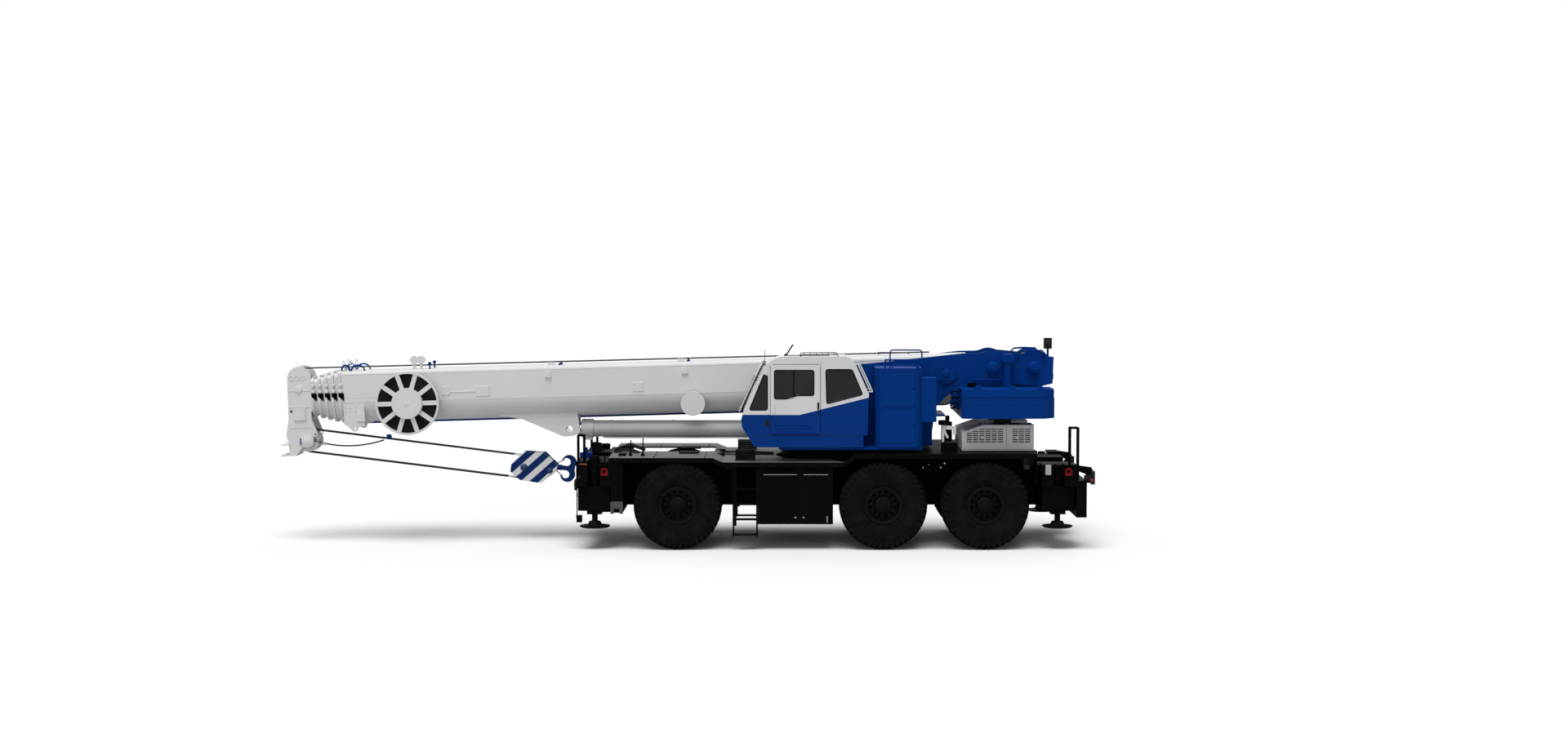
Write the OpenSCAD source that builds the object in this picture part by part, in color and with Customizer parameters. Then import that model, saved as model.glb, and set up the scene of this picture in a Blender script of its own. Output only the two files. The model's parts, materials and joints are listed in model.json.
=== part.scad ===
// Rough terrain crane with three axles, a turning upper part and a boom of five sections.
// Millimetres. The boom's tip points to -X, the cab stands on the -Y side, and Z is up.
// Inside the modules x is measured from the slewing axis, y from the centre line, z from the ground.

/* [Wheels] */
// Outer diameter of a tyre
tyre_d = 1750; // [1680:10:1780]
// Width of a tyre
tyre_w = 670; // [600:10:680]
// Distance between the middles of a left and a right tyre
track = 2620; // [2580:10:2640]
// Diameter of a rim's flanges
rim_d = 760; // [720:10:800]
// Distance from a kingpin to the middle of its tyre
kingpin_offset = 250; // [230:5:270]
// Place of the first axle
axle_1_x = -2940; // [-2960:5:-2930]
// Place of the second axle
axle_2_x = 1120; // [1110:5:1140]
// Place of the third axle
axle_3_x = 3130; // [3110:5:3140]
// Radius of the axle housings
axle_r = 125; // [100:5:140]

/* [Carrier] */
// Width of the decks
deck_w = 3300; // [3240:10:3310]
// Height of the front deck
deck_front_z = 1825; // [1815:5:1860]
// Height of the deck under the cab
deck_low_z = 1738; // [1720:2:1750]
// Height of the rear fenders
deck_rear_z = 1902; // [1880:2:1920]
// Thickness of the decks
deck_t = 30; // [16:1:34]
// Width of the main frame
frame_w = 860; // [760:20:900]
// Underside of the main frame
frame_z0 = 760; // [740:10:780]
// Top of the main frame
frame_z1 = 1480; // [1460:10:1500]
// Length of the side cabinets
cabinet_len = 1479; // [1300:10:1480]
// Rear end of the side cabinets
cabinet_x1 = 125; // [60:5:125]
// Underside of the side cabinets
cabinet_z0 = 512; // [480:10:600]

/* [Outriggers] */
// Place of the front jacks
jack_front_x = -4585; // [-4600:5:-4570]
// Place of the rear jacks
jack_rear_x = 4573; // [4560:5:4590]
// Distance of a jack from the centre line
jack_y = 1350; // [1330:5:1350]
// Width and depth of a jack's housing
jack_box = 290; // [250:10:300]
// Radius of a jack's rod
jack_rod_r = 58; // [50:2:60]
// Diameter of a float
float_d = 600; // [480:20:600]
// Underside of the floats
float_z = 425; // [400:5:440]
// Width of an outrigger beam
beam_w = 290; // [260:10:300]
// Height of an outrigger beam
beam_h = 440; // [380:10:450]
// Distance between the middles of the two beams in one box
beam_pitch = 345; // [345:5:350]
// Thickness of the boxes' walls
box_wall = 25; // [16:1:28]

/* [Engine] */
// Length of the engine hood
hood_len = 1436; // [1400:4:1440]
// Front end of the engine hood
hood_x0 = 2716; // [2700:1:2730]
// Width of the engine hood
hood_w = 1800; // [1700:20:1800]
// Top of the engine hood
hood_z1 = 2414; // [2380:2:2420]
// Thickness of the hood's sheet with its frame
hood_t = 20; // [10:1:25]
// Width of the trough that the lift cylinder passes over
trough_w = 560; // [480:10:600]
// Floor of that trough
trough_z = 2050; // [2030:5:2060]

/* [Upper part] */
// Radius of the slewing ring
ring_r = 950; // [900:10:980]
// Underside of the upper part
upper_z0 = 1950; // [1945:5:1960]
// Thickness of the turntable's floor
floor_t = 80; // [60:5:85]
// Inner distance between the turntable's side plates
plate_gap = 1040; // [1030:2:1050]
// Thickness of the turntable's side plates
plate_t = 40; // [25:1:45]
// Outer face of the cab
cab_y0 = -1600; // [-1610:5:-1590]
// Inner face of the cab, beside the boom
cab_y1 = -650; // [-660:5:-640]
// Thickness of the cab's walls
cab_wall = 40; // [25:1:45]
// How far the door stands out of the cab's side
door_out = 6; // [5:1:8]
// Thickness of the door
door_t = 28; // [20:1:30]
// Outer face of the equipment cabinets
pod_y = 1560; // [1500:10:1600]
// Top of the equipment cabinets
pod_z1 = 3586; // [3500:10:3590]
// Outer width of the counterweight
weight_w = 3200; // [3000:20:3200]
// Radius of a winch's flanges
winch_r = 350; // [300:10:355]
// Radius of the rope on a winch
winch_rope_r = 270; // [220:10:290]
// Place of the front winch
winch_1_x = 3356; // [3350:1:3370]
// Place of the rear winch
winch_2_x = 4178; // [4160:1:4190]
// Height of the winches
winch_z = 3550; // [3545:1:3560]

/* [Boom] */
// Place of the boom's foot pin
foot_x = 2423; // [2410:1:2430]
// Height of the boom's foot pin
foot_z = 3434; // [3430:1:3440]
// Angle by which the stowed boom points down
droop = 1.6; // [1.5:0.1:1.7]
// Length of the base section ahead of its foot pin
base_len = 12250; // [12200:10:12300]
// Length of the base section behind its foot pin
base_tail = 450; // [420:5:460]
// Width of the base section
boom_w = 920; // [900:2:930]
// Height of the base section
boom_h = 1050; // [1030:2:1060]
// Height of the base section's top above the foot pin
boom_top = 360; // [350:2:370]
// Thickness of the sections' walls
boom_wall = 12; // [8:1:14]
// How much narrower each section is than the one before, on each side
section_step = 38; // [34:1:40]
// How far each section stands out of the one before
section_out = 145; // [135:1:150]
// Length of the boom head
head_len = 485; // [470:5:500]
// Radius of the boom head's sheaves
sheave_r = 220; // [200:5:230]
// Radius of the cable reel
reel_r = 636; // [600:4:640]

/* [Lift cylinder] */
// Place of the lift cylinder's base pin
lift_x = 1000; // [990:5:1010]
// Height of the lift cylinder's base pin
lift_z = 2274; // [2270:1:2285]
// Place of the rod's eye along the boom from the foot pin
eye_u = 7642; // [7630:2:7650]
// Height of the rod's eye from the foot pin, across the boom
eye_h = -946; // [-950:1:-940]
// Radius of the lift cylinder's barrel
barrel_r = 168; // [150:1:172]
// Radius of the lift cylinder's rod
rod_r = 125; // [100:5:130]

/* [Hidden] */
$fn = 48;

// Running clearance of pins, bearings and sliding faces
fit = 0.5;
// Clearance between parts that are only fitted together
seat = 0.3;

// Front end of the whole machine, the lower flange of the boom head, and its rear end
head_flange_u = base_len + 4 * section_out + head_len + 180;
head_flange_h = -1330;
head_flange_t = 20;
nose_x = foot_x - head_flange_u * cos(droop) - (head_flange_h + head_flange_t) * sin(droop);
lamp_rear_x = jack_rear_x + 704;
slew_x = -(nose_x + lamp_rear_x) / 2;

tyre_r = tyre_d / 2;
axle_z = tyre_r;
axle_x = [axle_1_x, axle_2_x, axle_3_x];
kingpin_y = track / 2 - kingpin_offset;
frame_y = frame_w / 2;
deck_y = deck_w / 2;

// Outrigger boxes: their ends around the beams, and the height of the beams
beam_z0 = 790;
box_z0 = beam_z0 - box_wall - fit;
box_z1 = beam_z0 + beam_h + box_wall + fit;
box_y = jack_y - jack_box / 2 - 20;
box_half = (beam_pitch + beam_w) / 2 + fit + box_wall;
housing_z0 = 693;
housing_z1 = 1244;
rod_z1 = 1450;
// Columns: the jack's place, the direction of that end, the jack column's radius and its top
OUTRIGGERS = [
  [jack_front_x, -1, 95, 1830],
  [jack_rear_x, 1, 76, 1664]
];
// Width of the cabinets and bumpers beyond the beams, and their outer faces
corner_y = deck_y - 30;
rear_end_x = jack_rear_x + 545;
deck_start_x = jack_front_x + 293;

// Cab: outline in x and z, clockwise from the front of the sill
cab_z0 = upper_z0 + floor_t + seat;
CAB = [
  [-1434, cab_z0 + 26], [-1564, 2270], [-1665, 2426], [-1682, 2576], [-1645, 2712], [-1507, 3036],
  [-1359, 3347], [-1250, 3572], [-1192, 3662], [-1064, 3745], [-920, 3809], [369, 3819],
  [480, 3772], [570, 3662], [830, 3074], [821, 2999], [803, 2270], [721, 2259], [722, cab_z0],
  [-1379, cab_z0]
];
DOOR = [[-1103, 2305], [-1103, 3660], [-136, 3660], [-136, 2305]];
DOOR_GLASS = [[-1016, 2999], [-1016, 3537], [-265, 3537], [-265, 3066], [-567, 3066], [-792, 2999]];
QUARTER_GLASS = [[-1507, 2774], [-1225, 3459], [-1176, 3443], [-1176, 2774]];
REAR_GLASS = [[10, 2897], [-7, 3551], [490, 3551], [691, 3074]];
FRONT_GLASS = [[-1800, 2790], [-1430, 3570], [-1150, 3570], [-1480, 2790]];
ROOF_GLASS = [[-780, 3600], [-780, 3900], [60, 3900], [60, 3600]];
BACK_GLASS = [[640, 3120], [520, 3600], [900, 3600], [900, 3120]];
GLASS_DEPTH = 14;
GLASS_T = 8;

// Boom sections: number from 0, then width, height and top of each, from the base section's sizes
function sec_w(k) = boom_w - 2 * k * section_step;
function sec_h(k) = boom_h - 2 * k * section_step;
function sec_top(k) = boom_top - k * section_step;
function sec_front(k) = base_len + k * section_out;
function sec_tail(k) = 50 + 30 * k;

// Lift cylinder: its eye, its length between the pins and its slope
eye_x = foot_x - eye_u * cos(droop) - eye_h * sin(droop);
eye_z = foot_z - eye_u * sin(droop) + eye_h * cos(droop);
lift_len = norm([eye_x - lift_x, eye_z - lift_z]);
lift_slope = atan2(eye_z - lift_z, lift_x - eye_x);

// Helpers

// Extrudes an outline in y and z along x
module along_x(x0, x1) {
  translate([x0, 0, 0]) rotate([90, 0, 90]) linear_extrude(x1 - x0) children();
}

// Extrudes an outline in x and z along y
module along_y(y0, y1) {
  translate([0, y1, 0]) rotate([90, 0, 0]) linear_extrude(y1 - y0) children();
}

// A block between two corners given as ranges
module block(x, y, z) {
  translate([x[0], y[0], z[0]]) cube([x[1] - x[0], y[1] - y[0], z[1] - z[0]]);
}

// A round bar across the machine
module bar_y(x, z, r, y0, y1) {
  translate([x, y0, z]) rotate([-90, 0, 0]) cylinder(r = r, h = y1 - y0);
}

// A round bar between two points
module bar(a, b, r) {
  d = b - a;
  translate(a) rotate([0, acos(d[2] / norm(d)), atan2(d[1], d[0])]) cylinder(r = r, h = norm(d), $fn = 24);
}

// A square bar between two points that lie in one plane across y, or along y
module strut(a, b, w) {
  d = b - a;
  translate(a) rotate([0, -atan2(d[2], norm([d[0], d[1]])), atan2(d[1], d[0])])
    translate([0, -w / 2, -w / 2]) cube([norm(d), w, w]);
}

// A row of round bars through a list of points, with ball corners
module pipe(points, r) {
  for (i = [0 : len(points) - 2]) bar(points[i], points[i + 1], r);
  for (i = [1 : 1 : len(points) - 2]) translate(points[i]) sphere(r, $fn = 24);
}

module both_sides() {
  children();
  mirror([0, 1, 0]) children();
}

// The clockwise outline p moved inwards by d
function inward(a, b) = [b[1] - a[1], a[0] - b[0]] / norm(b - a);
function inset(p, d) = let (n = len(p)) [
  for (i = [0 : n - 1])
    let (m = inward(p[(i + n - 1) % n], p[i]), q = inward(p[i], p[(i + 1) % n]))
      p[i] + (m + q) * d / (1 + m * q)
];

// Places children on the machine, with x measured from the slewing axis
module placed() {
  translate([slew_x, 0, 0]) children();
}

// Places children on the boom: x runs forward from the foot pin, z up across the boom
module on_boom() {
  placed() translate([foot_x, 0, foot_z]) rotate([0, -droop, 0]) mirror([1, 0, 0]) children();
}

// Carrier

module chassis_frame() {
  color("#17181a") placed() {
    difference() {
      union() {
        block([jack_front_x + box_half, jack_rear_x - box_half], [-frame_y, frame_y],
          [frame_z0, frame_z1]);
        cylinder(r = ring_r - 60, h = upper_z0 - 90);
      }
      translate([0, 0, -1]) cylinder(r = ring_r, h = frame_z0 + 1);
      for (x = axle_x)
        block([x - 300, x + 300], [-frame_y - 1, frame_y + 1], [0, axle_z + 270]);
      block([-ring_r, ring_r], [frame_y, ring_r], [0, frame_z1]);
      block([-ring_r, ring_r], [-ring_r, -frame_y], [0, frame_z1]);
    }
    for (x = axle_x, s = [-1, 1])
      block([x + s * 250 - 50, x + s * 250 + 50], [-300, 300], [axle_z + 130, axle_z + 270]);
  }
}

module axle_housings() {
  color("#1b1c1e") placed() for (x = axle_x) translate([x, 0, axle_z]) {
    sphere(r = 205);
    bar_y(0, 0, axle_r, -kingpin_y + 160, kingpin_y - 160);
    for (s = [-1, 1])
      block([s * 245 - 50, s * 245 + 50], [-250, 250], [-60, 130 - seat]);
    block([-300, 300], [-120, 120], [-60, 60]);
    both_sides() difference() {
      union() {
        block([-120, 120], [kingpin_y - 200, kingpin_y - 130], [-205, 205]);
        for (z = [-205, 170]) {
          block([-90, 90], [kingpin_y - 140, kingpin_y], [z, z + 35]);
          translate([0, kingpin_y, z]) cylinder(r = 90, h = 35);
        }
      }
      translate([0, kingpin_y, -210]) cylinder(r = 40 + fit, h = 420);
    }
  }
}

// A steered knuckle with its kingpins and the wheel's spindle
module knuckle(x, side) {
  color("#232427") placed() translate([x, side * kingpin_y, axle_z]) {
    translate([0, 0, -170 + fit]) cylinder(r = 85, h = 340 - 2 * fit);
    translate([0, 0, -204]) cylinder(r = 40, h = 408);
    bar_y(0, 0, 70, side > 0 ? 0 : -kingpin_offset - 20, side > 0 ? kingpin_offset + 20 : 0);
    bar_y(0, 0, 120, side > 0 ? 60 : -80, side > 0 ? 80 : -60);
  }
}

// A wheel's ring and disc, drawn with its outer side to +Y
module rim(x, side) {
  color("#1d1e20") placed() translate([x, side * track / 2, axle_z])
  mirror([0, side > 0 ? 0 : 1, 0]) rotate([-90, 0, 0]) {
    difference() {
      rotate_extrude($fn = 72) polygon([
        [rim_d / 2 - 62, -300], [rim_d / 2 - 5, -300], [rim_d / 2 - 5, -278], [rim_d / 2 - 40, -270],
        [rim_d / 2 - 40, 270], [rim_d / 2 - 5, 278], [rim_d / 2, 300], [rim_d / 2 - 62, 300],
        [rim_d / 2 - 62, 40], [175, 40], [175, 96], [150, 112], [70, 118], [0, 118], [0, 60],
        [70 + fit, 60], [70 + fit, -150], [150, -150], [150, 10], [rim_d / 2 - 62, 10]
      ]);
      for (i = [0 : 11]) rotate([0, 0, 30 * i + 15]) translate([245, 0, 0])
        cylinder(r = 26, h = 60, $fn = 24);
    }
    for (i = [0 : 19]) rotate([0, 0, 18 * i]) translate([200, 0, 40])
      cylinder(r = 13, h = 26, $fn = 13);
  }
}

// A tyre's body, drawn with its outer side to +Y
module tyre(x, side) {
  half = tyre_w / 2;
  bead = rim_d / 2 - 40 + seat;
  color("#101010") placed() translate([x, side * track / 2, axle_z])
  rotate([-90, 0, 0]) rotate_extrude($fn = 72) polygon([
    for (s = [-1, 1], i = [0 : 5])
      let (k = s < 0 ? i : 5 - i)
        [[bead, 266 * s], [rim_d / 2 + 1, 273 * s], [rim_d / 2 + 24, 300 * s], [bead + 170, half * s],
          [tyre_r - 90, (half - 12) * s], [tyre_r, (half - 70) * s]][k]
  ]);
}

// Outriggers: both boxes with what stands over and beside them
module outrigger_boxes() {
  color("#151617") placed() for (o = OUTRIGGERS) {
    front = o[1] < 0;
    top = front ? 1745 : 1690;
    middle = front ? 420 : 480;
    gap = o[2] + 30;
    x0 = o[0] - box_half;
    x1 = o[0] + box_half;
    difference() {
      block([x0, x1], [-box_y, box_y], [box_z0, box_z1]);
      for (s = [-1, 1]) {
        x = o[0] + s * beam_pitch / 2;
        block([x - beam_w / 2 - fit, x + beam_w / 2 + fit], [-box_y - 1, box_y + 1],
          [beam_z0 - fit, beam_z0 + beam_h + fit]);
      }
    }
    both_sides() {
      block([x0, x1], [-box_y, -middle], [box_z1, front ? top : 1640]);
      // Boxes over the beam's end, on both sides of the jack's column
      for (x = [[x0, o[0] - gap], [o[0] + gap, x1]]) difference() {
        block(x, [-corner_y, -box_y], [box_z1 + 2, top]);
        for (l = LUGS) block([l - 80, l + 80], [-deck_y, -deck_y + lug_depth], [lug_z - 88, lug_z + 95]);
      }
    }
    if (front) {
      block([x0, x1], [-middle, middle], [box_z1, 1560]);
      both_sides() block([x1, x1 + 232], [-corner_y, -frame_y], [740, deck_front_z - deck_t]);
    } else {
      both_sides() block([x1 + 2, rear_end_x], [-corner_y, -middle], [645, 1373]);
      both_sides() block([x1 - 1, x1 + 3], [-box_y, -middle], [box_z0, box_z1]);
    }
  }
}

// Tie-down lugs, on the boxes over the outriggers
lug_z = 1561;
lug_t = 40;
lug_r = 72;
lug_hole_r = 30;
lug_depth = 170;
LUGS = [jack_front_x + 212, jack_rear_x + 184];

module tie_down_lugs() {
  color("#b31217") placed() both_sides() for (x = LUGS)
    difference() {
      union() {
        bar_y(x, lug_z, lug_r, -deck_y, -deck_y + lug_t);
        block([x - lug_r, x + lug_r], [-deck_y, -deck_y + lug_t], [lug_z - 88, lug_z]);
        block([x - lug_r, x + lug_r], [-deck_y + lug_t - 1, -deck_y + lug_depth], [lug_z - 88, lug_z - 62]);
      }
      bar_y(x, lug_z, lug_hole_r, -deck_y - 1, -deck_y + lug_t + 1);
    }
}

// Decks and fenders
module deck_and_fenders() {
  tops = [
    [deck_start_x, deck_front_z], [axle_1_x + 690, deck_front_z], [axle_1_x + 900, deck_low_z],
    [axle_2_x - 756, deck_low_z], [axle_2_x - 548, deck_rear_z], [axle_3_x + 1004, deck_rear_z]
  ];
  n = len(tops);
  function band(d) = concat(tops, [for (i = [n - 1 : -1 : 0]) tops[i] - [0, d]]);
  color("#5d5f62") placed() difference() {
    union() {
      along_y(-deck_y, deck_y) polygon(band(deck_t));
      both_sides() along_y(-deck_y, -deck_y + 12) polygon(band(95));
      // Plates that carry the decks, between the wheels and the cabinets
      for (p = [[axle_1_x + 1055, 1031, deck_low_z], [axle_2_x + 1000, 1560, deck_rear_z],
          [axle_3_x + 990, 1290, deck_rear_z]])
        both_sides() block([p[0], p[0] + 14], [-deck_y + 6, -frame_y], [p[1], p[2] - deck_t / 2]);
      both_sides() block([axle_1_x + 1055, axle_2_x - 756], [-frame_y - 14, -frame_y], [frame_z1 - 200,
        deck_low_z - deck_t / 2]);
      both_sides() block([axle_2_x - 600, axle_3_x + 1004], [-frame_y - 14, -frame_y], [frame_z1 - 200,
        deck_rear_z - deck_t / 2]);
      both_sides() block([jack_front_x + box_half + 232, axle_1_x + 900], [-frame_y - 14, -frame_y],
        [frame_z1 - 200, deck_front_z - deck_t / 2]);
    }
    translate([0, 0, frame_z0]) cylinder(r = ring_r + 60, h = 2000);
    block([hood_x0 + 60, hood_x0 + hood_len - 60], [-frame_y, frame_y], [frame_z1, 2000]);
    // Recess along the front deck, with the hoses
    block([deck_start_x - 1, axle_1_x + 690], [-220, 830], [frame_z1, 2000]);
    block([axle_3_x + 860, axle_3_x + 1100], [-480, 480], [frame_z1, 2000]);
  }
}

// Cabinets under the deck: the left one, and the tank on the right
module side_cabinets() {
  color("#131415") placed() both_sides() difference() {
    block([cabinet_x1 - cabinet_len, cabinet_x1], [-corner_y, -frame_y - 14],
      [cabinet_z0, deck_low_z - deck_t]);
    translate([0, 0, frame_z1 - 20]) cylinder(r = ring_r, h = 400);
  }
}

// Ladders beside the cabinets and the grab rails at the four corners
module steps_and_rails() {
  x0 = axle_1_x + 1088;
  x1 = cabinet_x1 - cabinet_len - 1;
  color("#1a1b1d") placed() both_sides() {
    for (x = [x0, x1 - 34]) block([x, x + 34], [-deck_y + 20, -deck_y + 90], [269, deck_low_z - deck_t]);
    for (i = [0 : 3]) block([x0 + 34, x1 - 34], [-deck_y + 20, -deck_y + 200], [290 + 300 * i, 315 + 300 * i]);
    for (y = [-deck_y + 60, -deck_y + 260])
      pipe([[jack_front_x - 308, y, 1745], [jack_front_x - 308, y, 2260], [jack_front_x - 190, y, 2260],
        [jack_front_x - 190, y, 1745]], 17);
  }
  // Grab rails beside the rear ladder, on the left only
  color("#1a1b1d") placed() for (y = [-deck_y + 80, -deck_y + 280])
    pipe([[jack_rear_x + 220, y, 1690], [jack_rear_x + 220, y, 2406], [jack_rear_x + 380, y, 2406],
      [jack_rear_x + 380, y, 1373]], 17);
}

// Engine hood, hollow, with a trough along its middle
module engine_hood() {
  x1 = hood_x0 + hood_len;
  outline = [[hood_x0, deck_rear_z], [hood_x0, hood_z1 - 150], [hood_x0 + 423, hood_z1], [x1, hood_z1],
    [x1, deck_rear_z]];
  module shape(d, trough) {
    difference() {
      along_y(-hood_w / 2 + d, hood_w / 2 - d) polygon(inset(outline, d));
      block([hood_x0 - 1, x1 + 1], [-trough_w / 2 - d, trough_w / 2 + d], [trough_z - d, trough ? 3000 : 2900]);
    }
  }
  color("#c9cbcc") placed() difference() {
    shape(0, true);
    translate([0, 0, -hood_t - 1]) shape(hood_t, true);
    shape(hood_t, true);
    both_sides() for (g = GRILLES, i = [0 : g[1] - 1], j = [0 : GRILLE_ROWS - 1 - (g[2] > i ? g[2] - i : 0)])
      translate([hood_x0 + g[0] + slot_pitch_x * i, -hood_w / 2 - 1, deck_rear_z + 165 + slot_pitch_z * j])
        cube([slot_len, hood_t + 2, slot_h]);
  }
}
// Slots in the hood's sides: distance from its front end, number of columns, slots left out of the first
GRILLES = [[94, 6, 2], [1009, 3, 0]];
GRILLE_ROWS = 7;
slot_len = 105;
slot_h = 20;
slot_pitch_x = 124;
slot_pitch_z = 42;

module engine() {
  color("#3a3c3f") placed()
    block([hood_x0 + 130, hood_x0 + hood_len - 130], [-330, 330], [frame_z1, trough_z - hood_t - 40]);
}

// Air intake and the silencer that stand ahead of and behind the hood
module intake_and_exhaust() {
  color("#1f2022") placed() {
    translate([hood_x0 - 381, -1040, deck_rear_z]) {
      cylinder(r = 48, h = 560);
      translate([0, 0, 530]) cylinder(r = 105, h = 86);
    }
    block([hood_x0 - 420, hood_x0 - 130], [-1350, -960], [deck_rear_z, deck_rear_z + 190]);
    // The silencer stands where the lift cylinder and the turntable pass it
    translate([hood_x0 - 156, 960, deck_rear_z]) {
      cylinder(r = 100, h = 430);
      cylinder(r = 45, h = 560);
    }
  }
}

// Lamps: head lamps on the front corners, tail lamps on brackets behind the rear corners
module lamps() {
  front = jack_front_x - box_half;
  rear = rear_end_x;
  color("#2a2b2d") placed() both_sides() {
    block([front - 40, front], [-deck_y + 60, -box_y - 20], [1180, 1380]);
    block([rear - 52, lamp_rear_x - 60], [-deck_y + 70, -deck_y + 90], [1373, 1480]);
    block([lamp_rear_x - 70, lamp_rear_x], [-deck_y + 30, -deck_y + 190], [1298, 1557]);
    block([front + 40, front + 90], [-deck_y, -deck_y + 30], [1420, 1480]);
  }
}

module slew_ring() {
  color("#2b2c2f") placed() difference() {
    translate([0, 0, upper_z0 - 90]) cylinder(r = ring_r, h = 90 - seat, $fn = 96);
    translate([0, 0, upper_z0 - 91]) cylinder(r = ring_r - 150, h = 92, $fn = 96);
  }
}

// Outrigger beam with its jack's housing and end plate: end 0 is the front, side is -1 on the left
module outrigger_beam(end, side) {
  o = OUTRIGGERS[end];
  x = o[0] + o[1] * side * beam_pitch / 2;
  outer = jack_y + jack_box / 2;
  color("#1b1c1e") placed() mirror([0, side > 0 ? 1 : 0, 0]) difference() {
    union() {
      block([x - beam_w / 2, x + beam_w / 2], [-outer + 1, box_y], [beam_z0, beam_z0 + beam_h]);
      block([o[0] - box_half + 25, o[0] + box_half - 25], [-outer - 20, -outer + 2], [beam_z0 - 25, housing_z1]);
      block([o[0] - jack_box / 2, o[0] + jack_box / 2], [-outer, -box_y - 20], [housing_z0, housing_z1]);
      translate([o[0], -jack_y, housing_z1 - 4]) cylinder(r = o[2], h = o[3] - housing_z1 + 4);
    }
    translate([o[0], -jack_y, housing_z0 - 1]) cylinder(r = jack_rod_r + fit, h = rod_z1 + 11 - housing_z0);
  }
}

// Outrigger jack: the rod and its float
module outrigger_jack(end, side) {
  o = OUTRIGGERS[end];
  color("#26272a") placed() translate([o[0], side * jack_y, 0]) {
    translate([0, 0, float_z + 30]) cylinder(r = jack_rod_r, h = rod_z1 - float_z - 30);
    rotate_extrude($fn = 64) polygon([
      [0, float_z], [float_d / 2 - 30, float_z], [float_d / 2, float_z + 18], [float_d / 2, float_z + 34],
      [150, float_z + 44], [110, float_z + 120], [0, float_z + 120]
    ]);
  }
}

// Upper part

module turntable_frame() {
  outline = [
    [-620, upper_z0 + 20], [-620, 2440], [-300, 2700], [617, 3617], [797, 3617], [2762, 3831], [3102, 3836],
    [3302, 3880], [4579, 3760], [4561, 3224], [4354, 3174], [3823, 3202], [2715, 3142], [2503, 3033],
    [2209, 2754], [2100, upper_z0 + 20]
  ];
  y0 = plate_gap / 2;
  y1 = y0 + plate_t;
  color("#0d3a9c") placed() {
    difference() {
      union() {
        translate([0, 0, upper_z0]) cylinder(r = ring_r + 60, h = floor_t, $fn = 96);
        block([-900, 1880], [-1500, 1500], [upper_z0 + 20, upper_z0 + floor_t]);
        block([1870, 2100], [-y1, y1], [upper_z0 + 20, upper_z0 + floor_t]);
        block([2000, 2400], [-y1, y1], [2560, 2600]);
        both_sides() along_y(y0, y1) polygon(outline);
        both_sides() bar_y(lift_x, lift_z, 190, 165, y1);
        both_sides() bar_y(foot_x, foot_z, 210, y0 - 1, y1 + 50);
        both_sides() for (x = [winch_1_x, winch_2_x]) bar_y(x, winch_z, 130, y1 - 1, y1 + 90);
        block([2100, 2140], [-y1, y1], [upper_z0 + 20, 2600]);
      }
      bar_y(lift_x, lift_z, 90 + fit, -y1 - 60, y1 + 60);
      for (x = [winch_1_x, winch_2_x]) bar_y(x, winch_z, 60 + fit, -y1 + 20, y1 - 20);
    }
    // Pins of the boom's foot and of the lift cylinder
    both_sides() bar_y(foot_x, foot_z, 90, boom_w / 2 + 2, y0);
    bar_y(lift_x, lift_z, 90, -y1, y1);
    // Crossbars behind the winches and above the counterweight
    block([4500, 4560], [-y0, y0], [3230, 3300]);
    block([3690, 3800], [-y0, y0], [3205, 3290]);
    // Lamp post
    bar([4460, -y0 - 20, 3700], [4460, -y0 - 20, 3940], 22);
    block([4384, 4535], [-y0 - 90, -y0 + 60], [3925, 4140]);
  }
}

// Wall of the cab between two depths, as an outline
module cab_ring(d0, d1) {
  difference() {
    polygon(inset(CAB, d0));
    polygon(inset(CAB, d1));
  }
}

module cab_shell() {
  color("#e9ebec") placed() difference() {
    along_y(cab_y0, cab_y1) polygon(CAB);
    along_y(cab_y0 + cab_wall, cab_y1 - cab_wall) polygon(inset(CAB, cab_wall));
    along_y(cab_y0 - 1, cab_y0 + cab_wall + 1) polygon(inset(DOOR, 40));
    for (g = [QUARTER_GLASS, REAR_GLASS]) along_y(cab_y0 - 1, cab_y0 + cab_wall + 1) polygon(g);
    for (g = [QUARTER_GLASS, REAR_GLASS]) along_y(cab_y1 - cab_wall - 1, cab_y1 + 1) polygon(g);
    along_y(cab_y1 - cab_wall - 1, cab_y1 + 1) polygon(DOOR_GLASS);
    for (g = [FRONT_GLASS, ROOF_GLASS, BACK_GLASS]) along_y(cab_y0 + 75, cab_y1 - 75) polygon(g);
  }
}

module cab_door() {
  y1 = cab_y0 - door_out;
  color("#eceeef") placed() {
    difference() {
      along_y(y1 - door_t, y1) polygon(DOOR);
      along_y(y1 - door_t - 1, y1 + 1) polygon(DOOR_GLASS);
    }
    along_y(y1 - 10, y1 - 4) polygon(DOOR_GLASS);
    block([DOOR[0][0] + 60, DOOR[0][0] + 90], [y1 - door_t - 16, y1 - door_t], [2700, 2900]);
    // Runner feet that hold the door on its rails
    for (z = [2330, 3625]) block([-700, -400], [y1 - 1, cab_y0 - fit], [z, z + 20]);
  }
}

module cab_glass() {
  color("#20262b") placed() {
    for (g = [QUARTER_GLASS, REAR_GLASS])
      along_y(cab_y0 + GLASS_DEPTH, cab_y0 + GLASS_DEPTH + GLASS_T) polygon(inset(g, seat));
    for (g = [QUARTER_GLASS, REAR_GLASS, DOOR_GLASS])
      along_y(cab_y1 - GLASS_DEPTH - GLASS_T, cab_y1 - GLASS_DEPTH) polygon(inset(g, seat));
    for (g = [FRONT_GLASS, ROOF_GLASS, BACK_GLASS]) intersection() {
      along_y(cab_y0 + 75 + seat, cab_y1 - 75 - seat) polygon(inset(g, seat));
      along_y(cab_y0, cab_y1) cab_ring(GLASS_DEPTH, GLASS_DEPTH + GLASS_T);
    }
  }
}

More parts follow.
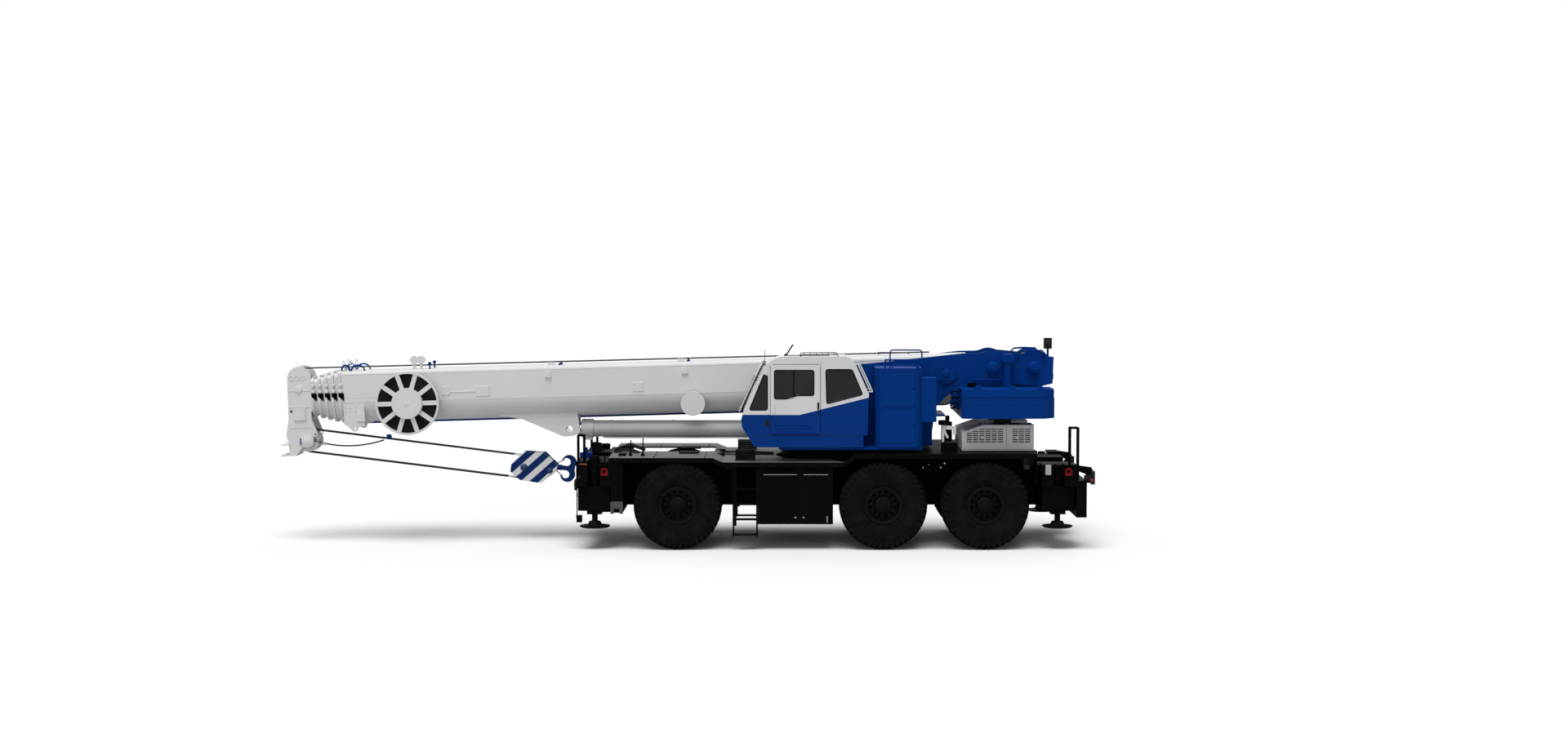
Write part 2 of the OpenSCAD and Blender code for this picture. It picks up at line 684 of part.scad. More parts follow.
// Seat, console and steering column on the cab's floor
module cab_interior() {
  floor_z = cab_z0 + cab_wall + seat;
  mid = (cab_y0 + cab_y1) / 2;
  color("#2e3033") placed() {
    block([-250, 250], [mid - 200, mid + 200], [floor_z, floor_z + 330]);
    block([-300, 260], [mid - 250, mid + 250], [floor_z + 330, floor_z + 480]);
    along_y(mid - 240, mid + 240) polygon([[140, floor_z + 470], [260, floor_z + 470], [400, floor_z + 1150],
      [300, floor_z + 1180]]);
    both_sides_at(mid) block([-350, 200], [-370, -260], [floor_z, floor_z + 620]);
    along_y(mid - 330, mid + 330) polygon([[-1150, floor_z], [-1150, floor_z + 700], [-1000, floor_z + 760],
      [-940, floor_z + 700], [-1000, floor_z]]);
    bar([-1040, mid, floor_z + 700], [-800, mid, floor_z + 880], 32);
    translate([-800, mid, floor_z + 880]) rotate([0, -53, 0]) difference() {
      cylinder(r = 205, h = 30);
      translate([0, 0, -1]) cylinder(r = 175, h = 16);
    }
  }
}

module both_sides_at(y) {
  translate([0, y, 0]) both_sides() children();
}

// Cabinets behind the cab: the tall one on the left, its fellow and a walkway on the right
module equipment_cabinets() {
  y1 = plate_gap / 2 + plate_t;
  z0 = upper_z0 + floor_t;
  chamfer = 90;
  color("#0d3a9c") placed() {
    both_sides() linear_extrude_between(z0, pod_z1)
      polygon([[958 + chamfer, -pod_y], [1877 - chamfer, -pod_y], [1877, -pod_y + chamfer], [1877, -y1],
        [958, -y1], [958, -pod_y + chamfer]]);
    both_sides() block([1870, 2163], [-pod_y + 60, -pod_y + 520], [2521, 3391]);
    block([-880, 958], [y1, pod_y], [z0, z0 + 60]);
    block([-300, 900], [y1, 1250], [z0 + 60, z0 + 640]);
    both_sides() pipe([[1150, -pod_y + 60, pod_z1], [1150, -pod_y + 60, pod_z1 + 160],
      [1780, -pod_y + 60, pod_z1 + 160], [1780, -pod_y + 60, pod_z1]], 15);
  }
}

module linear_extrude_between(z0, z1) {
  translate([0, 0, z0]) linear_extrude(z1 - z0) children();
}

// A winch drum with the rope on it
module winch_drum(x) {
  half = plate_gap / 2 - 12;
  color("#0d3a9c") placed() translate([x, 0, winch_z]) {
    bar_y(0, 0, winch_rope_r, -half + 20, half - 20);
    both_sides() bar_y(0, 0, winch_r, -half, -half + 24);
    bar_y(0, 0, 60, -half - 25, half + 25);
  }
}

// Counterweight: a wide slab with two upper blocks beside the winches
module counterweight() {
  half = weight_w / 2;
  y1 = plate_gap / 2 + plate_t;
  corner = 240;
  color("#0d3a9c") placed() {
    linear_extrude_between(2592, 2993) polygon([
      [2661 + 60, -half], [4500 - corner, -half], [4500, -half + corner], [4500, half - corner],
      [4500 - corner, half], [2661 + 60, half], [2661, half - 60], [2661, -half + 60]
    ]);
    both_sides() linear_extrude_between(2993, 3162) polygon([
      [2663, -half + 40], [4496 - corner, -half + 40], [4496, -half + corner + 40], [4496, -y1 - 60],
      [2663, -y1 - 60]
    ]);
    // Cylinders that lower the counterweight
    both_sides() translate([3640, -y1 - 130, 3162]) cylinder(r = 82, h = 500);
    both_sides() block([3560, 3720], [-y1 - 200, -y1 - seat], [3600, 3662]);
  }
}

// Boom

// Outline of a section: flat top and sides, half round below
module section_outline(k, d) {
  w = sec_w(k) - 2 * d;
  h = sec_h(k) - 2 * d;
  top = sec_top(k) - d;
  r = 70 - d;
  translate([-w / 2, top - h + w / 2]) square([w, h - w / 2 - r]);
  translate([-w / 2 + r, top - r - 1]) square([w - 2 * r, r + 1]);
  for (s = [-1, 1]) translate([s * (w / 2 - r), top - r]) circle(r, $fn = 24);
  translate([0, top - h + w / 2]) circle(w / 2, $fn = 64);
}

module section_tube(k, u0, u1, out) {
  along_x(u0, u1) difference() {
    section_outline(k, -out);
    section_outline(k, boom_wall);
  }
}

// Wear pads inside the front of section k that guide section k + 1
module wear_pads(k) {
  gap = section_step - boom_wall;
  w = sec_w(k + 1) / 2;
  u1 = sec_front(k) - 10;
  for (s = [-1, 1]) {
    block([u1 - 100, u1], [s * w * 0.6 - 60, s * w * 0.6 + 60], [sec_top(k + 1) + fit, sec_top(k) - boom_wall + 1]);
    block([u1 - 100, u1], s > 0 ? [w + fit, w + gap + 1] : [-w - gap - 1, -w - fit],
      [sec_top(k) - 420, sec_top(k) - 220]);
  }
}

module boom_base() {
  color("#eceded") on_boom() {
    difference() {
      union() {
        section_tube(0, -base_tail, base_len, 0);
        // Collar at the front
        section_tube(0, base_len - 60, base_len, 16);
      }
      // The tail is cut back so that it clears the counterweight as the boom rises
      along_y(-600, 600) polygon([[-base_tail - 1, -900], [0, -900], [0, -692], [-160, -480], [-400, -240],
        [-base_tail - 1, -120]]);
    }
    wear_pads(0);
    both_sides() difference() {
      bar_y(0, 0, 200, -boom_w / 2 - 50, -boom_w / 2 + 2);
      bar_y(0, 0, 90 + fit, -boom_w / 2 - 51, -boom_w / 2 + 3);
    }
    difference() {
      base_fittings();
      along_x(-base_tail - 1, base_len + 1) section_outline(0, boom_wall);
    }
  }
}

// What is welded to the base section, drawn a little into its wall
module base_fittings() {
  // Bracket of the lift cylinder's rod, two plates below the boom
  both_sides() difference() {
    along_y(-250, -145) polygon([[eye_u + 1574, -500], [eye_u + 1574, -600], [eye_u + 947, -715],
      [eye_u + 118, -1094], [eye_u - 85, -1082], [eye_u - 219, -1015], [eye_u - 160, -500]]);
    bar_y(eye_u, eye_h, 70, -260, -140);
  }
  // Plate with the lug near the front, on each side
  both_sides() difference() {
    along_y(-boom_w / 2 - 20, -boom_w / 2 + 20) polygon([[base_len - 514, -317], [base_len - 98, -317],
      [base_len - 98, -700], [base_len - 190, -765], [base_len - 270, -850], [base_len - 350, -850],
      [base_len - 390, -765], [base_len - 514, -740]]);
    bar_y(base_len - 310, -800, 24, -600, 600);
  }
  // Bracket of the cable reel and the small reel behind it
  block([reel_u - 180, reel_u + 180], [-boom_w / 2 - 70, -boom_w / 2 + 2], [reel_h - 100, reel_h + 200]);
  bar_y(reel_u, reel_h, 60, -boom_w / 2 - 330, -boom_w / 2 - 60);
  bar_y(small_reel_u, small_reel_h, 110, -boom_w / 2 - 60, -boom_w / 2 + 60);
  bar_y(small_reel_u, small_reel_h, 245, -boom_w / 2 - 150, -boom_w / 2 - 55);
  // Rollers and lugs along the top
  for (u = [base_len - 1660, base_len - 1520]) {
    block([u - 30, u + 30], [-300, -260], [boom_top - 5, boom_top + 190]);
    bar_y(u, boom_top + 190, 80, -320, -240);
  }
  for (u = [5330, 7960]) block([u - 70, u + 70], [-320, -290], [boom_top - 5, boom_top + 70]);
  // Brackets of the stowed jib on the right side
  for (u = JIB_BRACKETS) block([u - 40, u + 40], [boom_w / 2 - 2, boom_w / 2 + 60], [-120, 60]);
}
reel_u = base_len - 1429;
reel_h = -297;
small_reel_u = 5110;
small_reel_h = -471;
JIB_BRACKETS = [3600, 7600, base_len - 950];

// A telescoping section with its collar: k from 1 to 3
module boom_section(k) {
  color("#e4e5e6") on_boom() {
    section_tube(k, sec_tail(k), sec_front(k), 0);
    section_tube(k, sec_front(k) - 50, sec_front(k), 24);
    wear_pads(k);
  }
}

// The last section with the boom head and its sheaves
module boom_section_5() {
  k = 4;
  u0 = sec_front(k);
  half = sec_w(k) / 2 - 20;
  plate = [
    [u0 + 20, 240], [u0 + head_len, 240], [u0 + head_len, -590], [u0 + head_len + 60, -905],
    [u0 + head_len + 20, -1060], [u0 + head_len, head_flange_h], [u0 + 360, head_flange_h],
    [u0 + 240, -1180], [u0 + 60, -1120], [u0 + 10, -960], [u0 - 85, -940], [u0 - 85, -870], [u0 + 20, -590]
  ];
  color("#eceded") on_boom() {
    section_tube(k, sec_tail(k), u0, 0);
    section_tube(k, u0 - 50, u0, 24);
    // Head: closed box, side plates, flanges
    block([u0 - 10, u0 + 30], [-half, half], [-440, 200]);
    both_sides() difference() {
      union() {
        along_y(-half, -half + 30) polygon(plate);
        bar_y(u0 + head_len / 2, 240, head_len / 2 - 5, -half, -half + 30);
      }
      bar_y(u0 - 50, -905, 26, -half - 1, -half + 31);
      for (h = [jib_pin_h]) bar_y(u0 + head_len - 60, h, 28, -half - 1, -half + 31);
    }
    block([u0 + head_len - 30, u0 + head_len], [-half, half], [-590, 120]);
    block([u0 + 20, u0 + head_len], [-half, half], [-590, -560]);
    block([u0 + 350, head_flange_u], [-half - 40, half + 40], [head_flange_h, head_flange_h + 20]);
    block([u0 + head_len, head_flange_u - 10], [-half - 40, half + 40], [-1111, -1091]);
    // Sheaves on their axles, above and below
    for (s = [[u0 + 255, 253, 180], [u0 + low_sheave, low_sheave_h, sheave_r]]) {
      bar_y(s[0], s[1], 45, -half, half);
      for (i = [-2 : 2]) bar_y(s[0], s[1], s[2], 95 * i - 25, 95 * i + 25);
    }
  }
}
jib_pin_h = -430;
low_sheave = 120;
low_sheave_h = -1040;

// Hook block: its sheave's centre on the boom's axes; the falls run from the head's lower sheaves
hook_u = 8600;
hook_h = -1703;
shank_h = 72;
head_sheave_u = base_len + 4 * section_out + low_sheave;
fall_tilt = atan2(low_sheave_h - hook_h, head_sheave_u - hook_u);
rope_r = 11;
fall_len = norm([low_sheave_h - hook_h, head_sheave_u - hook_u]);

module hook_block() {
  half = 150;
  octagon = [[266, -120], [266, 30], [40, 316], [-382, 345], [-663, 130], [-663, -7], [-372, -282], [55, -267]];
  color("#e8eaec") on_boom() translate([hook_u, 0, hook_h]) rotate([0, -fall_tilt, 0]) {
    both_sides() along_y(-half, -half + 35) polygon(octagon);
    bar_y(0, 0, 40, -half, half);
    for (i = [-1 : 1]) bar_y(0, 0, sheave_r + rope_r, 95 * i - 18, 95 * i + 18);
    block([-640, -560], [-half, half], [-10, 130]);
    // Ramshorn hook: two rings about its shank, opened towards the block, and their latches
    bar([-760, 0, shank_h], [-560, 0, shank_h], 56);
    along_y(-50, 50) {
      difference() {
        for (s = [-1, 1]) translate([-885, shank_h + 125 * s]) circle(150);
        for (s = [-1, 1]) translate([-838, shank_h + 126 * s]) circle(84);
        for (s = [-1, 1]) translate([-770, shank_h + 104 * s]) square([180, 120], center = true);
      }
      translate([-1010, shank_h - 38]) square([310, 76]);
      translate([-1015, shank_h - 90]) square([100, 180]);
    }
    for (s = [-1, 1]) bar([-620, 0, shank_h + 60 * s], [-790, 0, shank_h + 172 * s], 9);
    // Falls between the head's lower sheaves and the block
    for (i = [-1 : 1], s = [-1, 1])
      bar([0, 95 * i, s * (sheave_r + rope_r + seat)], [fall_len, 95 * i, s * (sheave_r + rope_r + seat)], rope_r);
  }
}

// The ten-spoked reel on the left of the base section
module cable_reel() {
  y0 = -boom_w / 2 - 80;
  color("#dfe1e2") on_boom() translate([reel_u, y0, reel_h]) rotate([90, 0, 0]) {
    rotate_extrude($fn = 96) polygon([
      [60 + fit, 0], [reel_r - 36, 0], [reel_r - 36, 180], [reel_r, 180], [reel_r, 240], [reel_r - 40, 240],
      [reel_r - 40, 200], [305, 200], [305, 290], [0, 290], [0, 252], [60 + fit, 252]
    ]);
    for (i = [0 : 9]) rotate([0, 0, 36 * i]) translate([300, -45, 195]) cube([reel_r - 336, 90, 38]);
  }
}

// Lift cylinder, along its own axis from the base pin
module on_lift() {
  placed() translate([lift_x, 0, lift_z]) rotate([0, lift_slope, 0]) mirror([1, 0, 0]) children();
}

module lift_cylinder_barrel() {
  head = 470;
  color("#cfd1d2") on_lift() difference() {
    union() {
      rotate([0, 90, 0]) translate([0, 0, 210]) cylinder(r = barrel_r, h = lift_len - head - 190);
      rotate([0, 90, 0]) translate([0, 0, lift_len - head]) cylinder(r = barrel_r + 26, h = 230);
      bar_y(0, 0, 170, -160, 160);
      block([0, 260], [-150, 150], [-140, 140]);
    }
    bar_y(0, 0, 90 + fit, -161, 161);
    rotate([0, 90, 0]) translate([0, 0, 260]) cylinder(r = rod_r + fit, h = lift_len);
  }
}

module lift_cylinder_rod() {
  color("#dadcdd") on_lift() difference() {
    union() {
      rotate([0, 90, 0]) translate([0, 0, 300]) cylinder(r = rod_r, h = lift_len - 400);
      bar_y(lift_len, 0, 135, -139, 139);
    }
    bar_y(lift_len, 0, 70, -140, 140);
  }
}

// Folding jib stowed along the right side of the base section
module folding_jib() {
  y0 = boom_w / 2 + 60;
  y1 = y0 + 520;
  u0 = 2900;
  u1 = base_len - 350;
  h0 = -740;
  h1 = 100;
  bays = 12;
  step = (u1 - u0) / bays;
  color("#0d3a9c") on_boom() {
    for (y = [y0 + 30, y1 - 30], h = [h0, h1]) strut([u0, y, h], [u1, y, h], 56);
    for (i = [0 : bays]) {
      u = u0 + step * i;
      for (h = [h0, h1]) strut([u, y0 + 30, h], [u, y1 - 30, h], 34);
      for (y = [y0 + 30, y1 - 30]) block([u - 17, u + 17], [y - 17, y + 17], [h0, h1]);
    }
    for (i = [0 : bays - 1], y = [y0 + 30, y1 - 30]) {
      u = u0 + step * i;
      up = i % 2 == 0;
      strut([u, y, up ? h0 : h1], [u + step, y, up ? h1 : h0], 30);
    }
    for (u = JIB_BRACKETS) block([u - 30, u + 30], [y0, y0 + 30], [h0, h1]);
  }
}

chassis_frame();
outrigger_boxes();
tie_down_lugs();
deck_and_fenders();
side_cabinets();
steps_and_rails();
engine_hood();
engine();
intake_and_exhaust();
lamps();
slew_ring();
axle_housings();
outrigger_beam(0, -1);  // outrigger_beam_fl
outrigger_beam(0, 1);  // outrigger_beam_fr
outrigger_beam(1, -1);  // outrigger_beam_rl
outrigger_beam(1, 1);  // outrigger_beam_rr
outrigger_jack(0, -1);  // outrigger_jack_fl
outrigger_jack(0, 1);  // outrigger_jack_fr
outrigger_jack(1, -1);  // outrigger_jack_rl
outrigger_jack(1, 1);  // outrigger_jack_rr
for (i = [0 : 2], s = [-1, 1]) {
  name = str(i + 1, s < 0 ? "l" : "r");
  knuckle(axle_x[i], s);
  rim(axle_x[i], s);
  tyre(axle_x[i], s);
}
turntable_frame();
cab_shell();
cab_door();
cab_glass();
cab_interior();
equipment_cabinets();
winch_drum(winch_1_x);  // winch_drum_front
winch_drum(winch_2_x);  // winch_drum_rear
counterweight();
boom_base();
boom_section(1);  // boom_section_2
boom_section(2);  // boom_section_3
boom_section(3);  // boom_section_4
boom_section_5();
hook_block();
cable_reel();
lift_cylinder_barrel();
lift_cylinder_rod();
folding_jib();
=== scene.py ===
"""Dresses a packed rough terrain crane: finishes, tread, trim, glass, ropes, stage and camera."""

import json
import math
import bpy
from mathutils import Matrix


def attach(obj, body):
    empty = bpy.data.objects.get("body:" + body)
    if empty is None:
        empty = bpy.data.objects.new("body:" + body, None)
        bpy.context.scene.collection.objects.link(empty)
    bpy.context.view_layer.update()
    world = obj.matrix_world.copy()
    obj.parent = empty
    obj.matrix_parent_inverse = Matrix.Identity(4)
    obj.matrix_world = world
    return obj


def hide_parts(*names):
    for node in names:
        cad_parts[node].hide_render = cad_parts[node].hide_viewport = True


bl_info = {
    "name": "Rough terrain crane dressing",
    "version": (1, 0, 0),
    "blender": (4, 5, 0),
    "location": "View3D > Sidebar > Crane",
    "description": "Finishes and trim for a rough terrain crane",
    "category": "Object",
}

import bmesh
import bpy
import numpy as np
from mathutils import Vector

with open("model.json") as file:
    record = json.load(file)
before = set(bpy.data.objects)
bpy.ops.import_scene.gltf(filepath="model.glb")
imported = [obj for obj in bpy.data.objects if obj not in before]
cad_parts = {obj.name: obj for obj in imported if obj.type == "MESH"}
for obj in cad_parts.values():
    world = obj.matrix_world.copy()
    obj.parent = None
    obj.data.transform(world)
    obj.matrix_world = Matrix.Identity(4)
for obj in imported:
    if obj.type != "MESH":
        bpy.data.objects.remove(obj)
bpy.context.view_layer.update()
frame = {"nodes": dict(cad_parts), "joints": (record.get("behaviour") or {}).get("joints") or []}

# From the joints: slewing axis, boom's foot pin, directions ahead along the boom, across it and above it,
# and the wheels' centres
JOINTS = {j["name"]: j for j in frame["joints"]}
SLEW_X = JOINTS["slew"]["pos_m"][0]
FOOT = np.array(JOINTS["boom_luff"]["pos_m"], float)
AHEAD = np.array(JOINTS["telescope_2"]["axis"], float)
ACROSS = np.array([0.0, 1.0, 0.0])
ABOVE = np.array([AHEAD[2], 0.0, -AHEAD[0]])
WHEEL_NAMES = ("1l", "1r", "2l", "2r", "3l", "3r")
WHEELS = {n: np.array(JOINTS["wheel_%s_spin" % n]["pos_m"], float) for n in WHEEL_NAMES}
SIDES = (-1, 1)


# Settings that a user would change


class CraneSizes(bpy.types.PropertyGroup):
    """Measures of the trim."""
    tread_depth: bpy.props.FloatProperty(
        name="Tread depth", description="Depth of the grooves between the tyre's lugs", default=0.045,
        unit="LENGTH")
    lug_pairs: bpy.props.IntProperty(
        name="Lugs", description="Lugs on each shoulder of a tyre", default=44, min=20, max=60)
    rope_radius: bpy.props.FloatProperty(
        name="Rope radius", description="Radius of the hoist ropes", default=0.011, unit="LENGTH")
    seal_width: bpy.props.FloatProperty(
        name="Seal width", description="Width of the rubber seals round the cab's panes", default=0.022,
        unit="LENGTH")


def colour_setting(name, description, default):
    """A colour setting."""
    return bpy.props.FloatVectorProperty(name=name, description=description, default=default, subtype="COLOR",
                                         min=0, max=1)


class CraneColours(bpy.types.PropertyGroup):
    """Paints and coatings."""
    boom: colour_setting("Boom", "Paint of the boom and the cab's upper half", (0.66, 0.665, 0.67))
    upper: colour_setting("Upper part", "Paint of the superstructure", (0.001, 0.034, 0.205))
    carrier: colour_setting("Carrier", "Paint of the carrier", (0.003, 0.003, 0.0033))
    deck: colour_setting("Deck", "Coating of the walkways", (0.12, 0.124, 0.128))
    hood: colour_setting("Hood", "Paint of the engine hood", (0.74, 0.745, 0.75))
    cylinder: colour_setting("Cylinder", "Paint of the lift cylinder", (0.5, 0.505, 0.51))
    signal: colour_setting("Lugs", "Paint of the tie-down lugs", (0.13, 0.003, 0.004))
    rubber: colour_setting("Rubber", "Tyres and seals", (0.006, 0.0058, 0.0054))


# Shapes


def grid(rows, cols, ring=True, loop=False):
    """Quads between points stored row by row; ring closes each row, loop joins the last row to the first."""
    i = np.arange(rows if loop else rows - 1)[:, None]
    j = np.arange(cols if ring else cols - 1)[None, :]
    i2, j2 = (i + 1) % rows, (j + 1) % cols
    return np.stack([i * cols + j + 0 * i2, i * cols + j2, i2 * cols + j2, i2 * cols + j], -1).reshape(-1, 4)


class Surface:
    """Points and faces of several shapes, gathered as one mesh."""

    def __init__(self):
        self.points, self.faces, self.total = [], [], 0

    def add(self, points, faces):
        """Adds points, and faces that count from the first of them."""
        points = np.asarray(points, float).reshape(-1, 3)
        self.points.append(points)
        self.faces += [[int(v) + self.total for v in f] for f in faces]
        self.total += len(points)
        return self

    def prism(self, outline, a, b, plane="xz"):
        """An outline carried straight from a to b: points (p, q) of the outline with a, then with b."""
        o = np.asarray(outline, float)
        n = len(o)
        order = {"xz": (0, 2, 1), "xy": (0, 1, 2), "yz": (1, 2, 0)}[plane]
        both = np.zeros((2 * n, 3))
        both[:, order[0]] = np.tile(o[:, 0], 2)
        both[:, order[1]] = np.tile(o[:, 1], 2)
        both[:, order[2]] = np.repeat([a, b], n)
        faces = grid(2, n).tolist() + [list(range(n)), list(range(n, 2 * n))]
        return self.add(both, faces)

    def block(self, x, y, z):
        """A box between ranges."""
        return self.prism([(x[0], z[0]), (x[1], z[0]), (x[1], z[1]), (x[0], z[1])], y[0], y[1])

    def tube(self, path, r, sides=10, close=False):
        """A circle of radius r along a path: p + r (cos t a + sin t b), with a and b square to the path."""
        p = np.asarray(path, float)
        if close:
            d = np.roll(p, -1, 0) - np.roll(p, 1, 0)
        else:
            d = np.gradient(p, axis=0)
        d /= np.linalg.norm(d, axis=1)[:, None]
        up = np.array([0.0, 0.0, 1.0]) if abs(d[:, 2]).max() < 0.95 else np.array([0.0, 1.0, 0.0])
        if abs(d @ up).max() > 0.97:
            up = np.array([0.31, 0.81, 0.5])
        a = np.cross(d, up)
        a /= np.linalg.norm(a, axis=1)[:, None]
        b = np.cross(d, a)
        t = np.linspace(0, 2 * np.pi, sides, endpoint=False)
        turned = np.cos(t)[None, :, None] * a[:, None] + np.sin(t)[None, :, None] * b[:, None]
        rings = p[:, None] + r * turned
        n = len(p)
        faces = grid(n, sides, loop=close).tolist()
        if not close:
            faces += [list(range(sides)), list(range((n - 1) * sides, n * sides))]
        return self.add(rings, faces)

    def lathe(self, profile, centre, axis=(0, 1, 0), steps=32):
        """A profile of (radius, along) turned about an axis: c + s n + r (cos t a + sin t b)."""
        q = np.asarray(profile, float)
        n = np.asarray(axis, float)
        n = n / np.linalg.norm(n)
        a = np.cross(n, [0.0, 0.0, 1.0] if abs(n[2]) < 0.9 else [1.0, 0.0, 0.0])
        a /= np.linalg.norm(a)
        b = np.cross(n, a)
        t = np.linspace(0, 2 * np.pi, steps, endpoint=False)
        turned = np.cos(t)[None, :, None] * a + np.sin(t)[None, :, None] * b
        rings = np.asarray(centre, float) + q[:, 1, None, None] * n + q[:, 0, None, None] * turned
        closed = bool(np.allclose(q[0], q[-1]))
        faces = grid(len(q), steps).tolist()
        if not closed:
            faces += [list(range(steps)), list(range((len(q) - 1) * steps, len(q) * steps))]
        return self.add(rings, faces)

    def studs(self, centres, axis, r, height, sides=6):
        """Bolt heads: a six-sided prism with a smaller top, copied to each centre."""
        for c in np.atleast_2d(np.asarray(centres, float)):
            self.lathe([(r, 0.0), (r, height * 0.8), (r * 0.75, height)], c, axis, sides)
        return self


def moved(shape, matrix):
    """The shape's points through a 4 x 4 matrix."""
    out = Surface()
    for p in shape.points:
        out.points.append(p @ matrix[:3, :3].T + matrix[:3, 3])
    out.faces, out.total = shape.faces, shape.total
    return out


MACHINE = np.eye(4)
MACHINE[0, 3] = SLEW_X
BOOM = np.eye(4)
BOOM[:3, 0], BOOM[:3, 1], BOOM[:3, 2], BOOM[:3, 3] = AHEAD, ACROSS, ABOVE, FOOT


def piece(name, shape, body, material, slot, place=MACHINE, bevel=0.0, angle=35.0):
    """One mesh from a shape in the machine's or the boom's own frame, welded and riding a body."""
    shape = moved(shape, place)
    mesh = bpy.data.meshes.new(name)
    mesh.from_pydata(np.concatenate(shape.points).tolist(), [], shape.faces)
    work = bmesh.new()
    work.from_mesh(mesh)
    bmesh.ops.remove_doubles(work, verts=work.verts, dist=1e-5)
    bmesh.ops.recalc_face_normals(work, faces=work.faces)
    work.to_mesh(mesh)
    work.free()
    mesh.shade_smooth()
    mesh.set_sharp_from_angle(angle=math.radians(angle))
    mesh.materials.append(material)
    made = bpy.data.objects.new(name, mesh)
    bpy.context.scene.collection.objects.link(made)
    if bevel:
        edge = made.modifiers.new("edges", "BEVEL")
        edge.width, edge.segments, edge.limit_method = bevel, 1, "ANGLE"
        edge.angle_limit = math.radians(40)
        edge.harden_normals = False
    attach(made, body)
    return made


def rounded(outline, r, n=4):
    """An outline with each corner replaced by a quadratic curve from r before it to r after it."""
    o = np.asarray(outline, float)
    out = []
    t = np.linspace(0, 1, n)[:, None]
    for k in range(len(o)):
        p, c, q = o[k - 1], o[k], o[(k + 1) % len(o)]
        a = c + (p - c) * min(0.5, r / np.linalg.norm(p - c))
        b = c + (q - c) * min(0.5, r / np.linalg.norm(q - c))
        out.append((1 - t) ** 2 * a + 2 * t * (1 - t) * c + t ** 2 * b)
    return np.concatenate(out)


def grown(outline, d):
    """A closed outline moved sideways by d, to its left when its area is positive."""
    o = np.asarray(outline, float)
    e = np.roll(o, -1, 0) - o
    n = np.stack([-e[:, 1], e[:, 0]], 1) / np.linalg.norm(e, axis=1)[:, None]
    m = np.roll(n, 1, 0)
    return o + (n + m) * d / (1 + (n * m).sum(1))[:, None]


# Finishes


class Nodes:
    """Small wrapper that makes and links the shader nodes of one material."""

    def __init__(self, name):
        self.material = bpy.data.materials.new(name)
        self.material.use_nodes = True
        self.tree = self.material.node_tree
        self.tree.nodes.clear()
        self.out = self.tree.nodes.new("ShaderNodeOutputMaterial")
        self.shader = self.tree.nodes.new("ShaderNodeBsdfPrincipled")
        self.link(self.shader.outputs[0], self.out.inputs[0])
        self.place = self.tree.nodes.new("ShaderNodeTexCoord").outputs["Object"]

    def link(self, a, b):
        """Joins an output to an input."""
        self.tree.links.new(a, b)

    def set(self, **values):
        """Sets values on the shader's own sockets."""
        for name, value in values.items():
            self.shader.inputs[name.replace("_", " ")].default_value = value

    def noise(self, scale, detail=4.0, rough=0.55, where=None):
        """Factor of a noise texture on Object coordinates, or on the given ones."""
        n = self.tree.nodes.new("ShaderNodeTexNoise")
        n.inputs["Scale"].default_value = scale
        n.inputs["Detail"].default_value = detail
        n.inputs["Roughness"].default_value = rough
        self.link(where or self.place, n.inputs["Vector"])
        return n.outputs["Fac"]

    def math(self, op, a, b=None, clamp=False):
        """One arithmetic node."""
        n = self.tree.nodes.new("ShaderNodeMath")
        n.operation, n.use_clamp = op, clamp
        for socket, value in zip(n.inputs, (a, b)):
            if value is None:
                continue
            if isinstance(value, (int, float)):
                socket.default_value = value
            else:
                self.link(value, socket)
        return n.outputs[0]

    def remap(self, value, a, b, c, d):
        """Maps a value from the range a to b onto c to d."""
        n = self.tree.nodes.new("ShaderNodeMapRange")
        for socket, v in zip(n.inputs, (None, a, b, c, d)):
            if v is not None:
                socket.default_value = v
        self.link(value, n.inputs[0])
        return n.outputs[0]

    def blend(self, fac, a, b):
        """Mixes two colours or colour outputs by a factor."""
        n = self.tree.nodes.new("ShaderNodeMix")
        n.data_type = "RGBA"
        self.link(fac, n.inputs["Factor"])
        for socket, value in ((n.inputs[6], a), (n.inputs[7], b)):
            if isinstance(value, (tuple, list)):
                socket.default_value = (*value[:3], 1.0)
            else:
                self.link(value, socket)
        return n.outputs[2]

    def bump(self, height, distance, strength=1.0, under=None):
        """Normals from a height in metres."""
        n = self.tree.nodes.new("ShaderNodeBump")
        n.inputs["Distance"].default_value = distance
        n.inputs["Strength"].default_value = strength
        self.link(height, n.inputs["Height"])
        if under is not None:
            self.link(under, n.inputs["Normal"])
        return n.outputs[0]

    def axis(self, k):
        """One of the shaded point's own coordinates."""
        n = self.tree.nodes.new("ShaderNodeSeparateXYZ")
        self.link(self.place, n.inputs[0])
        return n.outputs[k]

    def along(self, direction, origin=(0, 0, 0)):
        """Distance of the shaded point along a direction from an origin."""
        s = self.tree.nodes.new("ShaderNodeVectorMath")
        s.operation = "SUBTRACT"
        self.link(self.place, s.inputs[0])
        s.inputs[1].default_value = origin
        d = self.tree.nodes.new("ShaderNodeVectorMath")
        d.operation = "DOT_PRODUCT"
        self.link(s.outputs[0], d.inputs[0])
        d.inputs[1].default_value = direction
        return d.outputs["Value"]


def shade(colour, k):
    """A colour k times as bright."""
    return tuple(min(1.0, c * k) for c in colour[:3])


